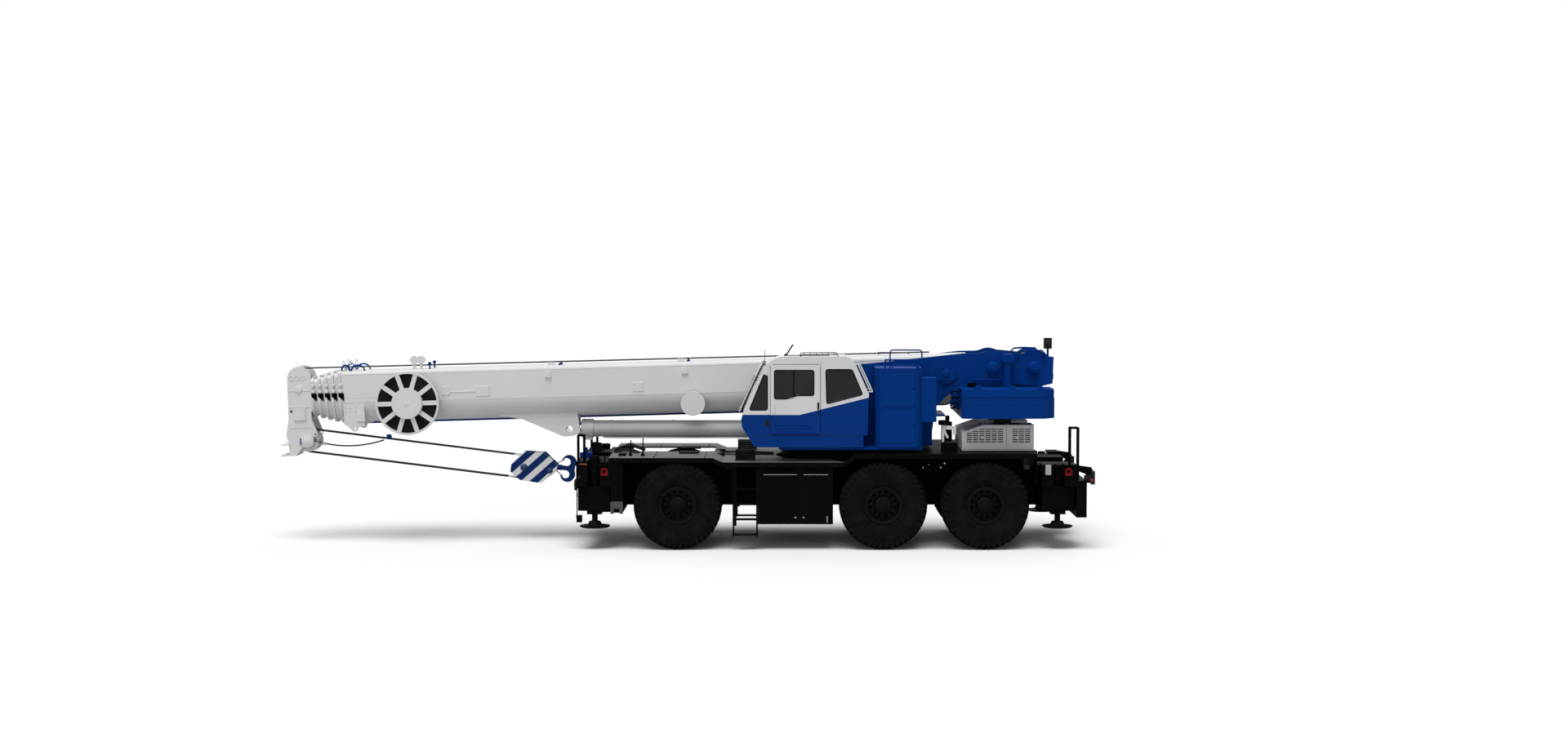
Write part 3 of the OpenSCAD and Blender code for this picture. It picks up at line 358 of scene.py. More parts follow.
def paint(name, colour, rough=0.32, coat=0.35, mottle=0.06, dust=0.0, dust_z=(0.2, 1.9), peel=0.00012,
          specular=0.3):
    """Sprayed paint: slow fading, dust that grows downwards, uneven gloss and an orange-peel surface."""
    n = Nodes(name)
    fade = n.noise(0.55, 5.0)
    base = n.blend(n.remap(fade, 0.3, 0.7, 0, 1), shade(colour, 1 - mottle), shade(colour, 1 + mottle))
    if dust:
        low = n.remap(n.axis(2), dust_z[1], dust_z[0], 0.15, 1.0)
        spots = n.remap(n.noise(3.2, 8.0, 0.68), 0.42, 0.72, 0.0, dust)
        base = n.blend(n.math("MULTIPLY", low, spots), base, (0.16, 0.145, 0.12))
    n.link(base, n.shader.inputs["Base Color"])
    n.link(n.remap(n.noise(2.4, 6.0), 0.3, 0.7, rough - 0.07, rough + 0.09), n.shader.inputs["Roughness"])
    n.link(n.bump(n.noise(260, 2.0), peel), n.shader.inputs["Normal"])
    n.set(Coat_Weight=coat, Coat_Roughness=0.12, Specular_IOR_Level=specular)
    return n.material


def split_paint(name, top, low, line):
    """Two paints on one sheet: above z = level + slope (x - corner) the first, below it the second."""
    n = Nodes(name)
    level, corner, slope = line
    ramp = n.math("MULTIPLY", n.math("MAXIMUM", n.math("SUBTRACT", n.axis(0), corner), 0.0), slope)
    above = n.math("GREATER_THAN", n.axis(2), n.math("ADD", ramp, level))
    fade = n.remap(n.noise(0.7, 5.0), 0.3, 0.7, 0, 1)
    colour = n.blend(above, n.blend(fade, shade(low, 0.94), shade(low, 1.06)),
                     n.blend(fade, shade(top, 0.95), shade(top, 1.03)))
    n.link(colour, n.shader.inputs["Base Color"])
    n.link(n.remap(n.noise(2.4, 6.0), 0.3, 0.7, 0.24, 0.38), n.shader.inputs["Roughness"])
    n.link(n.bump(n.noise(260, 2.0), 0.00012), n.shader.inputs["Normal"])
    n.set(Specular_IOR_Level=0.04)
    return n.material


def rubber(name, colour, rough=0.72):
    """Rubber: fine pores, slow bloom and paler scuffs."""
    n = Nodes(name)
    bloom = n.remap(n.noise(5.0, 6.0), 0.35, 0.75, 0, 1)
    n.link(n.blend(bloom, shade(colour, 0.8), shade(colour, 1.7)), n.shader.inputs["Base Color"])
    n.link(n.remap(n.noise(14.0, 5.0), 0.3, 0.7, rough - 0.1, rough + 0.12), n.shader.inputs["Roughness"])
    n.link(n.bump(n.noise(150, 3.0), 0.0008), n.shader.inputs["Normal"])
    n.set(Specular_IOR_Level=0.02)
    return n.material


def metal(name, colour, rough=0.34, brushed=(1.0, 1.0, 1.0), metallic=1.0):
    """Bare metal with fine scratches that are drawn out along one axis."""
    n = Nodes(name)
    stretch = n.tree.nodes.new("ShaderNodeMapping")
    n.link(n.place, stretch.inputs[0])
    stretch.inputs["Scale"].default_value = brushed
    lines = n.noise(90, 4.0, 0.6, stretch.outputs[0])
    n.link(n.blend(n.remap(lines, 0.3, 0.7, 0, 1), shade(colour, 0.82), shade(colour, 1.12)),
           n.shader.inputs["Base Color"])
    n.link(n.remap(lines, 0.3, 0.7, rough - 0.08, rough + 0.12), n.shader.inputs["Roughness"])
    n.link(n.bump(lines, 0.0002), n.shader.inputs["Normal"])
    n.set(Metallic=metallic)
    return n.material


def wire_rope(name, axis):
    """Wire rope: strands wound round the line, as a wave along the rope's axis."""
    n = Nodes(name)
    wave = n.math("SINE", n.math("MULTIPLY", n.along(tuple(axis)), 420.0))
    n.link(n.blend(n.remap(wave, -1, 1, 0, 1), (0.018, 0.018, 0.018), (0.085, 0.085, 0.082)),
           n.shader.inputs["Base Color"])
    n.link(n.remap(n.noise(30), 0.3, 0.7, 0.35, 0.6), n.shader.inputs["Roughness"])
    n.link(n.bump(wave, 0.002), n.shader.inputs["Normal"])
    n.set(Metallic=0.7)
    return n.material


def glass(name, colour, rough=0.04):
    """Tinted pane with faint dust."""
    n = Nodes(name)
    film = n.remap(n.noise(1.6, 6.0), 0.35, 0.75, 0, 1)
    n.link(n.blend(film, colour, shade(colour, 1.5)), n.shader.inputs["Base Color"])
    n.link(n.remap(film, 0, 1, rough, rough + 0.06), n.shader.inputs["Roughness"])
    n.set(Transmission_Weight=0.55, IOR=1.45, Specular_IOR_Level=0.25)
    return n.material


def walkway(name, colour):
    """Anti-slip coating: coarse grit on a worn grey coat."""
    n = Nodes(name)
    grit = n.noise(110, 3.0, 0.8)
    worn = n.remap(n.noise(1.3, 7.0, 0.65), 0.35, 0.7, 0, 1)
    base = n.blend(worn, shade(colour, 0.8), shade(colour, 1.35))
    base = n.blend(n.remap(grit, 0.55, 0.75, 0, 0.5), base, shade(colour, 2.2))
    n.link(base, n.shader.inputs["Base Color"])
    n.link(n.remap(worn, 0, 1, 0.42, 0.62), n.shader.inputs["Roughness"])
    n.link(n.bump(grit, 0.0016), n.shader.inputs["Normal"])
    n.set(Specular_IOR_Level=0.06)
    return n.material


MATERIALS = {}


def finishes():
    """Makes every material once."""
    c = bpy.context.scene.crane_colours
    m = MATERIALS
    boom, upper, black = tuple(c.boom), tuple(c.upper), tuple(c.carrier)
    m["white"] = paint("boom paint", boom, 0.4, 0.0, 0.03, specular=0.12)
    m["blue"] = paint("superstructure paint", upper, 0.38, 0.0, 0.07, specular=0.02)
    m["black"] = paint("carrier paint", black, 0.5, 0.0, 0.2, dust=0.01, specular=0.015)
    m["gear"] = paint("running gear paint", shade(black, 1.2), 0.55, 0.0, 0.25, dust=0.02, dust_z=(0.3, 1.4),
                      specular=0.03)
    m["rim"] = paint("rim paint", shade(black, 1.2), 0.3, 0.0, 0.25, specular=0.06)
    m["deck"] = walkway("walkway coating", tuple(c.deck))
    m["hood"] = paint("hood paint", tuple(c.hood), 0.45, 0.0, 0.03, specular=0.15)
    m["cylinder"] = paint("cylinder paint", tuple(c.cylinder), 0.33, 0.35, 0.03)
    m["red"] = paint("lug paint", tuple(c.signal), 0.4, 0.0, 0.08, specular=0.1)
    m["iron"] = paint("engine enamel", (0.06, 0.06, 0.063), 0.6, 0.0, 0.2)
    m["plastic"] = paint("moulded plastic", (0.008, 0.008, 0.0085), 0.55, 0.0, 0.1, peel=0.0004,
                         specular=0.15)
    m["rod"] = metal("chromed rod", (0.62, 0.63, 0.64), 0.16, (0.2, 6.0, 6.0))
    m["steel"] = metal("bare steel", (0.34, 0.34, 0.345), 0.38)
    m["rubber"] = rubber("tyre rubber", tuple(c.rubber))
    m["seal"] = rubber("seal rubber", shade(tuple(c.rubber), 0.9), 0.5)
    m["hose"] = rubber("hose rubber", (0.016, 0.016, 0.017), 0.42)
    m["glass"] = glass("tinted pane", (0.022, 0.027, 0.029))
    m["inside"] = paint("cab lining", (0.035, 0.036, 0.038), 0.7, 0.0, 0.12, peel=0.0006)
    # Near black with no gloss: dark gaps, vents and hidden machinery, and painted shade inside the hood's
    # slots and below the boom's collars
    m["dark"] = paint("gaps_and_painted_shade", (0.003, 0.003, 0.003), 0.8, 0.0, 0.1, specular=0.0)
    m["lens"] = paint("lamp lens", (0.3, 0.3, 0.31), 0.12, 0.6, 0.05)
    m["red_lens"] = paint("tail lens", (0.42, 0.006, 0.008), 0.15, 0.7, 0.08)
    m["amber"] = paint("side lens", (0.25, 0.06, 0.006), 0.2, 0.6, 0.08)
    m["hook_blue"] = paint("hook paint", (0.003, 0.03, 0.11), 0.3, 0.2, 0.1)
    # The line between the cab's two paints starts to rise at this corner
    corner = SLEW_X - 0.535
    m["cab"] = split_paint("cab paint", boom, upper, (2.672, corner, 0.2482))
    m["rope"] = wire_rope("wire rope", AHEAD)
    m["winding"] = wire_rope("wound rope", ACROSS)


CORNERS = ("fl", "fr", "rl", "rr")
NODE_FINISH = {
    "black": ["chassis_frame", "outrigger_boxes", "side_cabinets", "steps_and_rails", "intake_and_exhaust",
              *("outrigger_beam_" + c for c in CORNERS)],
    "gear": ["axle_housings", "slew_ring", *("knuckle_" + w for w in WHEEL_NAMES),
             *("outrigger_jack_" + c for c in CORNERS)],
    "rim": ["rim_" + w for w in WHEEL_NAMES],
    "red": ["tie_down_lugs"],
    "deck": ["deck_and_fenders"],
    "hood": ["engine_hood"],
    "iron": ["engine"],
    "plastic": ["lamps"],
    "rubber": ["tyre_" + w for w in WHEEL_NAMES],
    "blue": ["turntable_frame", "equipment_cabinets", "winch_drum_front", "winch_drum_rear", "counterweight",
             "folding_jib"],
    "cab": ["cab_shell", "cab_door"],
    "glass": ["cab_glass"],
    "inside": ["cab_interior"],
    "white": ["boom_base", "boom_section_2", "boom_section_3", "boom_section_4", "boom_section_5",
              "cable_reel"],
    "cylinder": ["lift_cylinder_barrel"],
    "rod": ["lift_cylinder_rod"],
    "white_hook": ["hook_block"],
}


# Hook block's pin and the head's lower sheave, along the boom and above its axis; slope of the falls
HOOK_U, HOOK_H = 8.6, -1.703
HEAD_SHEAVE = (12.95, -1.04)
FALL_TILT = math.atan2(HEAD_SHEAVE[1] - HOOK_H, HEAD_SHEAVE[0] - HOOK_U)


def hook_finish():
    """Hook block: white cheeks with blue diagonal bands, blue hook, dark rope falls, told apart by place."""
    n = Nodes("hook block paint")
    c = bpy.context.scene.crane_colours
    centre = FOOT + HOOK_U * AHEAD + HOOK_H * ABOVE
    pull = math.cos(FALL_TILT) * AHEAD + math.sin(FALL_TILT) * ABOVE
    across = -math.sin(FALL_TILT) * AHEAD + math.cos(FALL_TILT) * ABOVE
    # Slope, shift, spacing and share of the blue bands; places along the block where its hook and falls begin
    slope, shift, pitch, share = 0.89, 4.222, 0.333, 0.53
    hook_from, falls_from = -0.664, 0.3
    s = n.along(tuple(pull), tuple(centre))
    t = n.along(tuple(across), tuple(centre))
    slant = n.math("ADD", s, n.math("MULTIPLY", t, slope))
    band = n.math("FRACT", n.math("DIVIDE", n.math("ADD", slant, shift), pitch))
    striped = n.math("LESS_THAN", band, share)
    blue = (0.001, 0.02, 0.115)
    base = n.blend(striped, tuple(c.boom), blue)
    base = n.blend(n.math("LESS_THAN", s, hook_from), base, blue)
    base = n.blend(n.math("GREATER_THAN", s, falls_from), base, (0.018, 0.018, 0.018))
    n.link(base, n.shader.inputs["Base Color"])
    n.link(n.remap(n.noise(2.4, 6.0), 0.3, 0.7, 0.28, 0.42), n.shader.inputs["Roughness"])
    n.link(n.bump(n.noise(200, 2.0), 0.0002), n.shader.inputs["Normal"])
    n.set(Specular_IOR_Level=0.08)
    return n.material


def second_finish(node, centre, normal, area):
    """The finish that some faces of a node have, told by their place: its name and the faces."""
    x, y, z = centre.T
    if node == "cab_door":
        # The pane lies behind the door's face
        return "glass", (y > -1.6165) & (y < -1.6095) & (z > 2.99)
    if node == "deck_and_fenders":
        # Faces that don't face up keep the carrier's black; the deck's top behind the slewing axis is painted
        # black as painted shade under the superstructure
        return "black", (normal[:, 2] < 0.5) | (x > SLEW_X + 0.2)
    if node == "engine_hood":
        # Painted shade: faces inside the outlet slots are made near black
        return "dark", (abs(y) < 0.8985) & (abs(y) > 0.8) & (area < 0.01)
    if node == "turntable_frame":
        # The working lamp on its post
        return "plastic", z > 3.92
    return None


class CRANE_OT_finishes(bpy.types.Operator):
    """Make the materials and give each frame node its own"""
    bl_idname = "crane.finishes"
    bl_label = "Finishes"

    def execute(self, context):
        finishes()
        MATERIALS["white_hook"] = hook_finish()
        for finish, nodes in NODE_FINISH.items():
            for node in nodes:
                mesh = frame["nodes"][node].data
                mesh.materials.clear()
                mesh.materials.append(MATERIALS[finish])
                count = len(mesh.polygons)
                centre, normal, area = np.zeros(count * 3), np.zeros(count * 3), np.zeros(count)
                for field, values in (("center", centre), ("normal", normal), ("area", area)):
                    mesh.polygons.foreach_get(field, values)
                index = np.zeros(count, np.int32)
                second = second_finish(node, centre.reshape(-1, 3), normal.reshape(-1, 3), area)
                if second:
                    mesh.materials.append(MATERIALS[second[0]])
                    index[second[1]] = 1
                mesh.polygons.foreach_set("material_index", index)
        return {"FINISHED"}


# Wheels


def tyre_shape(centre, side, sizes):
    """A tyre as a lathe body with two rows of angled lugs. Lug k spans angles a0 to a1, and each of its
    points lies at radius r and offset y: centre + (r cos a, y, r sin a)."""
    s = Surface()
    half, outer, depth = 0.335, 0.872, sizes.tread_depth
    bead, base = 0.3405, outer - depth
    body = [(bead, -0.266), (0.381, -0.273), (0.404, -0.300), (0.45, -0.318), (0.53, -0.331), (0.62, -half),
            (0.70, -0.333), (0.765, -0.324), (0.80, -0.313), (base - 0.006, -0.292), (base, -0.25),
            (base + 0.004, -0.1), (base + 0.006, 0.0)]
    profile = body + [(r, -y) for r, y in body[-2::-1]]
    profile.append(profile[0])
    s.lathe(profile, centre, (0, 1, 0), 96)
    count = sizes.lug_pairs
    step = 2 * np.pi / count
    rows = np.array([(base - 0.004, 0.005, 0.0), (base - 0.004, 0.16, 0.12), (base - 0.006, 0.27, 0.2),
                     (0.79, 0.3235, 0.24), (0.735, 0.3335, 0.26)])
    top = np.array([(outer, 0.005, 0.0), (outer, 0.16, 0.12), (outer - 0.012, 0.262, 0.2),
                    (0.832, 0.3285, 0.24), (0.742, 0.336, 0.26)])
    m = len(rows)
    for row in SIDES:
        for k in range(count):
            start = (k + (0.5 if row > 0 else 0.0)) * step
            pts = []
            for level, width in ((rows, 0.62), (top, 0.5)):
                for edge in (-0.5, 0.5):
                    a = start + row * side * level[:, 2] * 0.9 + edge * step * width * np.linspace(0.8, 1.05,
                                                                                                   m)
                    pts.append(np.stack([centre[0] + level[:, 0] * np.cos(a), centre[1] + row * level[:, 1],
                                         centre[2] + level[:, 0] * np.sin(a)], 1))
            a0, a1, b0, b1 = (np.arange(m) + i * m for i in range(4))
            faces = []
            for i in range(m - 1):
                faces += [[b0[i], b1[i], b1[i + 1], b0[i + 1]], [a0[i], a0[i + 1], a1[i + 1], a1[i]],
                          [a0[i], b0[i], b0[i + 1], a0[i + 1]], [a1[i], a1[i + 1], b1[i + 1], b1[i]]]
            faces += [[a0[0], a1[0], b1[0], b0[0]], [a0[-1], b0[-1], b1[-1], a1[-1]]]
            s.add(np.concatenate(pts), faces)
    # Rings moulded on the sidewalls
    for y in SIDES:
        for r in (0.435, 0.47, 0.66):
            ring = [(r - 0.006, 0.0), (r - 0.003, 0.006), (r + 0.003, 0.006), (r + 0.006, 0.0), (r, -0.01),
                    (r - 0.006, 0.0)]
            depth_at = np.interp(r, [0.404, 0.45, 0.53, 0.62, 0.70], [0.300, 0.318, 0.331, 0.335, 0.333])
            s.lathe([(p, q * y + y * depth_at) for p, q in ring], centre, (0, 1, 0), 72)
    return s


def hub_shape(centre, side):
    """What is bolted on a rim: nuts with washers, the planetary hub's cover with its bolts, and the valve."""
    s = Surface()
    y = centre[1]
    out = np.array([0.0, side, 0.0])

    def at(r, a, d):
        """The place at radius r and angle a, d outwards from the wheel's middle."""
        return (centre[0] + r * math.cos(a), y + side * d, centre[2] + r * math.sin(a))

    for k in range(20):
        a = 2 * math.pi * (k + 0.5) / 20
        s.lathe([(0.021, 0.0), (0.021, 0.006), (0.016, 0.006), (0.016, 0.026), (0.012, 0.03), (0.008, 0.036)],
                at(0.288, a, 0.04), out, 6)
    cover = [(0.172, 0.096), (0.176, 0.12), (0.165, 0.135), (0.158, 0.135), (0.155, 0.15), (0.12, 0.158),
             (0.1, 0.158), (0.095, 0.17), (0.05, 0.174), (0.0, 0.174)]
    s.lathe([(0.12, 0.09)] + cover, centre, out, 40)
    s.studs([at(0.142, 2 * math.pi * (k + 0.5) / 12, 0.153) for k in range(12)], out, 0.008, 0.009)
    s.studs([at(0.072, 2 * math.pi * k / 6, 0.172) for k in range(3)], out, 0.009, 0.008)
    s.tube([at(0.33, 0.6, 0.03), at(0.335, 0.6, 0.09), at(0.30, 0.6, 0.12)], 0.007, 8)
    # Lock ring and seat ring at the outer flange
    for r, d in ((0.352, 0.297), (0.318, 0.262)):
        ring = [(r + 0.009 * math.cos(t), d + 0.009 * math.sin(t)) for t in np.linspace(0, 2 * np.pi, 9)]
        s.lathe(ring, centre, out, 72)
    return s


class CRANE_OT_wheels(bpy.types.Operator):
    """Make the treaded tyres and the hubs' covers and nuts"""
    bl_idname = "crane.wheels"
    bl_label = "Wheels"

    def execute(self, context):
        for name, centre in WHEELS.items():
            side = 1 if name.endswith("r") else -1
            tyre = piece("tread_" + name, tyre_shape(centre, side, context.scene.crane_sizes),
                         "wheel_" + name, MATERIALS["rubber"], "tyre_rubber", place=np.eye(4), angle=30)
            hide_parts("tyre_" + name)
            piece("hub_" + name, hub_shape(centre, side), "wheel_" + name, MATERIALS["rim"], "carrier_black",
                  place=np.eye(4))
        return {"FINISHED"}


# Trim shared by several pieces


def both(a, b, side):
    """The range between a and b on one side of the machine."""
    return tuple(sorted((side * a, side * b)))


def ring(s, outline, width, y0, y1):
    """A flat ring round an outline in x and z: outer and inner loop at two depths."""
    o = np.asarray(outline, float)
    area = np.sum(o[:, 0] * np.roll(o[:, 1], -1) - np.roll(o[:, 0], -1) * o[:, 1])
    outer = grown(o, -math.copysign(width, area))
    loops = [(outer, y0), (outer, y1), (o, y1), (o, y0)]
    points = np.concatenate([np.stack([q[:, 0], np.full(len(q), y), q[:, 1]], 1) for q, y in loops])
    return s.add(points, grid(4, len(o), loop=True).tolist())


def dress(rows, place=MACHINE):
    """One piece for each row of name, shape, body, finish, slot and, for some, width of the rounded edges."""
    for name, shape, body, finish, slot, *edge in rows:
        piece(name, shape, body, MATERIALS[finish], slot, place, *edge)


def blocks(s, table):
    """Boxes from rows of x0, x1, y0, y1, z0, z1."""
    for x0, x1, y0, y1, z0, z1 in table:
        s.block((x0, x1), (y0, y1), (z0, z1))
    return s


def rectangle(x0, x1, z0, z1, r=0.02):
    """A rectangle in x and z with rounded corners."""
    return rounded([(x0, z0), (x1, z0), (x1, z1), (x0, z1)], r)


def rail(s, y, places, r, sides=8):
    """A tube through places (x, z) in the plane at y."""
    s.tube([(x, y, z) for x, z in places], r, sides)


def bolt_circle(x, y, z, r, count):
    """Places evenly spaced round an axle that lies across the machine: (x + r cos a, y, z + r sin a)."""
    return [(x + r * math.cos(a), y, z + r * math.sin(a)) for a in np.arange(count) * 2 * np.pi / count]


def arch(s, x, half, z, rise, y, r=0.014):
    """A hoop: half an ellipse with straight feet, as a tube."""
    t = np.linspace(0, np.pi, 13)
    s.tube(np.stack([x + half * np.cos(t), np.full(13, y), z + rise * np.sin(t)], 1), r, 8)
    return s


# Boom


# Places along the boom (u) and above its axis (h) in metres: centre of the cable reel; then the reel's outer
# face and the side of the boom head
REEL_U, REEL_H = 10.821, -0.297
REEL_FACE = -0.83
HEAD_SIDE = 0.288
# Side and top of the base section
FLANK, CROWN = 0.46, 0.352
# Name, half width and front end of each section
SECTIONS = (("boom", 0.460, 12.250), ("section_2", 0.422, 12.395), ("section_3", 0.384, 12.540),
            ("section_4", 0.346, 12.685), ("section_5", 0.308, 12.830))
# Hoist rope above the boom: places along it and their heights
ROPE_LINE = ((0.30, 13.07), (0.406, 0.433))
# Lift cylinder: its eye under the boom and its own frame, from the base pin towards the eye
EYE = FOOT + 7.642 * AHEAD - 0.946 * ABOVE
PIN = np.array(JOINTS["lift_barrel_turn"]["pos_m"], float)
LIFT_LENGTH = float(np.linalg.norm(EYE - PIN))
LIFT = np.eye(4)
LIFT[:3, 0] = (EYE - PIN) / LIFT_LENGTH
LIFT[:3, 1], LIFT[:3, 2], LIFT[:3, 3] = ACROSS, (LIFT[2, 0], 0.0, -LIFT[0, 0]), PIN


def boom_welds():
    """Weld beads, bolted plates and side lugs of the base section."""
    s = Surface()
    for side in SIDES:
        bead = both(FLANK - 0.0025, FLANK + 0.0035, side)
        for u0, u1, h in ((-0.3, 12.18, -0.262), (10.3, 12.18, -0.165), (0.5, 12.18, 0.292)):
            s.block((u0, u1), bead, (h - 0.005, h + 0.005))
        for u0, u1, h0, h1 in ((10.0, 10.17, -0.17, 0.0), (9.2, 9.485, -0.21, -0.005),
                               (9.485, 10.0, -0.12, -0.1), (6.1, 6.32, -0.2, -0.02), (2.6, 2.8, -0.18, 0.02)):
            s.block((u0, u1), both(FLANK - 0.002, FLANK + 0.01, side), (h0, h1))
            if h1 - h0 > 0.1:
                corners = [(u, side * 0.47, h) for u in (u0 + 0.025, u1 - 0.025)
                           for h in (h0 + 0.025, h1 - 0.025)]
                s.studs(corners, (0, side, 0), 0.011, 0.009)
        for u in (8.01, 5.26, 2.2):
            s.prism([(u - 0.07, 0.13), (u + 0.07, 0.13), (u + 0.035, 0.25), (u - 0.035, 0.25)],
                    *both(FLANK - 0.002, FLANK + 0.04, side))
    s.block((11.73, 11.89), (-0.505, -0.478), (-0.65, -0.483))
    s.studs([(u, -0.48, h) for u in (11.78, 11.9, 12.02, 12.12) for h in (-0.36, -0.44)], (0, -1, 0), 0.014,
            0.012)
    return s


def collar_trim(k, half, u):
    """Pads' covers and round caps on the collar of section k, and the stops on its top."""
    s = Surface()
    out = half + (0.016 if k == 0 else 0.024)
    top = 0.36 - 0.038 * k
    for side in SIDES:
        s.block((u - 0.052, u - 0.006), both(out - 0.002, out + 0.012, side), (0.14, top - 0.03))
        for h in (0.09, -0.035):
            s.lathe([(0.036, -0.02), (0.036, 0.03), (0.024, 0.045), (0.0, 0.045)], (u - 0.045, side * out, h),
                    (0, side, 0), 16)
        s.block((u - 0.045, u - 0.01), both(half * 0.3, half * 0.3 + 0.12, side), (top + 0.014, top + 0.05))
    return s


def collar_shadow(k, half, u):
    """Painted shadow: dark stepped sheets on the sides below the pads' covers, where the collars cast shade.
    """
    s = Surface()
    out = half + (0.016 if k == 0 else 0.024)
    for side in SIDES:
        s.prism([(u - 0.004, -0.02), (u - 0.06, -0.02), (u - 0.06, -0.075), (u - 0.11, -0.075),
                 (u - 0.11, -0.235), (u - 0.004, -0.14)], *both(half - 0.002, out + 0.0025, side))
    return s


def rope_guides():
    """Hoops and posts that guide the hoist ropes along the base section's top."""
    s = Surface()
    for y in (-0.3, 0.3):
        arch(s, 12.12, 0.085, CROWN, 0.13, y, 0.016)
        arch(s, 11.87, 0.135, CROWN, 0.125, y, 0.016)
    for y in (-0.3, 0.3):
        s.block((10.4, 10.43), (y - 0.02, y + 0.02), (0.35, 0.47))
        s.lathe([(0.03, -0.03), (0.034, -0.02), (0.034, 0.02), (0.03, 0.03)], (10.415, y, 0.47), (0, 1, 0),
                12)
    for u in (2.6, 5.2, 7.8):
        s.block((u - 0.03, u + 0.03), (-0.19, 0.19), (CROWN, CROWN + 0.026))
        s.lathe([(0.016, -0.17), (0.02, -0.16), (0.02, 0.16), (0.016, 0.17)], (u, 0, 0.385), (0, 1, 0), 12)
    return s


def white_hoops():
    """Thin pale hoops beside the blue ones."""
    s = Surface()
    for u in (12.16, 12.0):
        for y in (-0.26, 0.26):
            arch(s, u, 0.03, CROWN, 0.225, y, 0.009)
    return s


def hoist_rope(u0, u1, r):
    """Two rope lines above the boom between two places along it."""
    s = Surface()
    for y in (-0.095, 0.095):
        s.tube([(u, y, np.interp(u, *ROPE_LINE)) for u in (u0, (u0 + u1) / 2, u1)], r, 8)
    return s


def reel_cable():
    """Windings of the cable between the reel's spokes: a zigzag in radius, turned about the axle."""
    s = Surface()
    r = np.linspace(0.312, 0.592, 57)
    profile = [(0.308, -0.004)] + [(v, 0.002 + 0.006 * (i % 2)) for i, v in enumerate(r)] + [(0.596, -0.004)]
    profile.append(profile[0])
    s.lathe(profile, (REEL_U, -0.7385, REEL_H), (0, -1, 0), 72)
    return s


def reel_hub():
    """Ten screws round the reel's disc and the cap at its centre."""
    s = Surface()
    s.studs(bolt_circle(REEL_U, REEL_FACE, REEL_H, 0.27, 10), (0, -1, 0), 0.008, 0.006)
    s.lathe([(0.05, -0.002), (0.05, 0.006), (0.03, 0.01), (0.0, 0.01)], (REEL_U, REEL_FACE, REEL_H),
            (0, -1, 0), 24)
    return s


def head_trim():
    """Rings on the head's side, bosses with screws, junction box, stiffeners and aerial."""
    s = Surface()
    for side in SIDES:
        out = (0, side, 0)
        for u in (12.99, 13.112, 13.235):
            s.lathe([(0.052, -0.003), (0.052, 0.009), (0.036, 0.009), (0.036, -0.003), (0.052, -0.003)],
                    (u, side * HEAD_SIDE, 0.25), out, 20)
        s.block((12.965, 13.2), both(0.285, 0.316, side), (-0.61, -0.37))
        s.studs([(u, side * 0.316, h) for u in (12.985, 13.18) for h in (-0.59, -0.39)], out, 0.011, 0.008)
        s.lathe([(0.135, -0.002), (0.135, 0.018), (0.1, 0.026), (0.06, 0.045), (0.0, 0.045)],
                (HEAD_SHEAVE[0], side * HEAD_SIDE, HEAD_SHEAVE[1]), out, 28)
        s.studs(bolt_circle(HEAD_SHEAVE[0], side * 0.31, HEAD_SHEAVE[1], 0.116, 8), out, 0.011, 0.01)
        s.lathe([(0.075, -0.002), (0.075, 0.02), (0.04, 0.03), (0.0, 0.03)], (13.085, side * HEAD_SIDE, 0.02),
                out, 20)
        for h0, h1 in ((-0.02, 0.0), (-0.35, -0.335), (-0.76, -0.745)):
            s.block((12.86, 13.3), both(0.286, 0.296, side), (h0, h1))
    rail(s, -0.2, [(13.107, 0.44), (13.107, 0.5), (13.11, 0.555)], 0.006)
    return s


def warning_cord():
    """Cord of the hoist limit switch, hanging from the head to its weight: a shallow parabola."""
    s = Surface()
    t = np.linspace(0, 1, 15)
    s.tube(np.stack([12.6 - 1.2 * t, np.full(15, -0.3), -1.09 + 0.035 * t - 0.32 * t * (1 - t)], 1), 0.014, 8)
    for u in (12.78, 12.7, 12.62):
        s.lathe([(0.02, -0.02), (0.03, -0.02), (0.03, 0.02), (0.02, 0.02), (0.02, -0.02)],
                (u, -0.3, -1.02 - (12.8 - u) * 0.4), (0, 1, 0), 12)
    return s


def cord_weight():
    """Weight at the cord's end with the arm that carries it, and the blue mark on the head."""
    s = Surface()
    s.prism(rounded([(11.25, -1.03), (11.34, -1.03), (11.34, -0.945), (11.25, -0.945)], 0.02), -0.33, -0.24)
    s.block((11.27, 11.32), (-0.25, -0.085), (-1.05, -1.0))
    s.block((13.07, 13.095), (-0.318, -0.286), (-1.11, -0.98))
    return s


def lift_fittings():
    """Bands, ports, pressure pipe and gland screws of the lift cylinder's barrel."""
    s = Surface()
    for at in (0.75, 2.4, 4.1, 5.35):
        s.lathe([(0.16, -0.02), (0.174, -0.02), (0.177, 0.0), (0.174, 0.02), (0.16, 0.02), (0.16, -0.02)],
                (at, 0, 0), (1, 0, 0), 40)
    for side in SIDES:
        y = side * 0.1
        z = -0.155
        s.tube([(0.5, y * 0.8, -0.14), (0.56, y, z - 0.02), (0.8, y, z - 0.025), (3.0, y, z - 0.025),
                (5.3, y, z - 0.025), (5.5, y, z - 0.02), (5.56, y * 0.8, -0.14)], 0.014, 8)
    s.block((0.42, 0.58), (-0.11, 0.11), (-0.19, -0.13))
    s.block((LIFT_LENGTH - 0.44, LIFT_LENGTH - 0.3), (-0.11, 0.11), (-0.225, -0.17))
    s.studs([(LIFT_LENGTH - 0.24, 0.162 * math.cos(a), 0.162 * math.sin(a)) for a in np.arange(12) * 0.5236],
            (1, 0, 0), 0.014, 0.014)
    s.lathe([(0.126, -0.01), (0.142, -0.01), (0.142, 0.012), (0.126, 0.016), (0.126, -0.01)],
            (LIFT_LENGTH - 0.24, 0, 0), (1, 0, 0), 32)
    return s


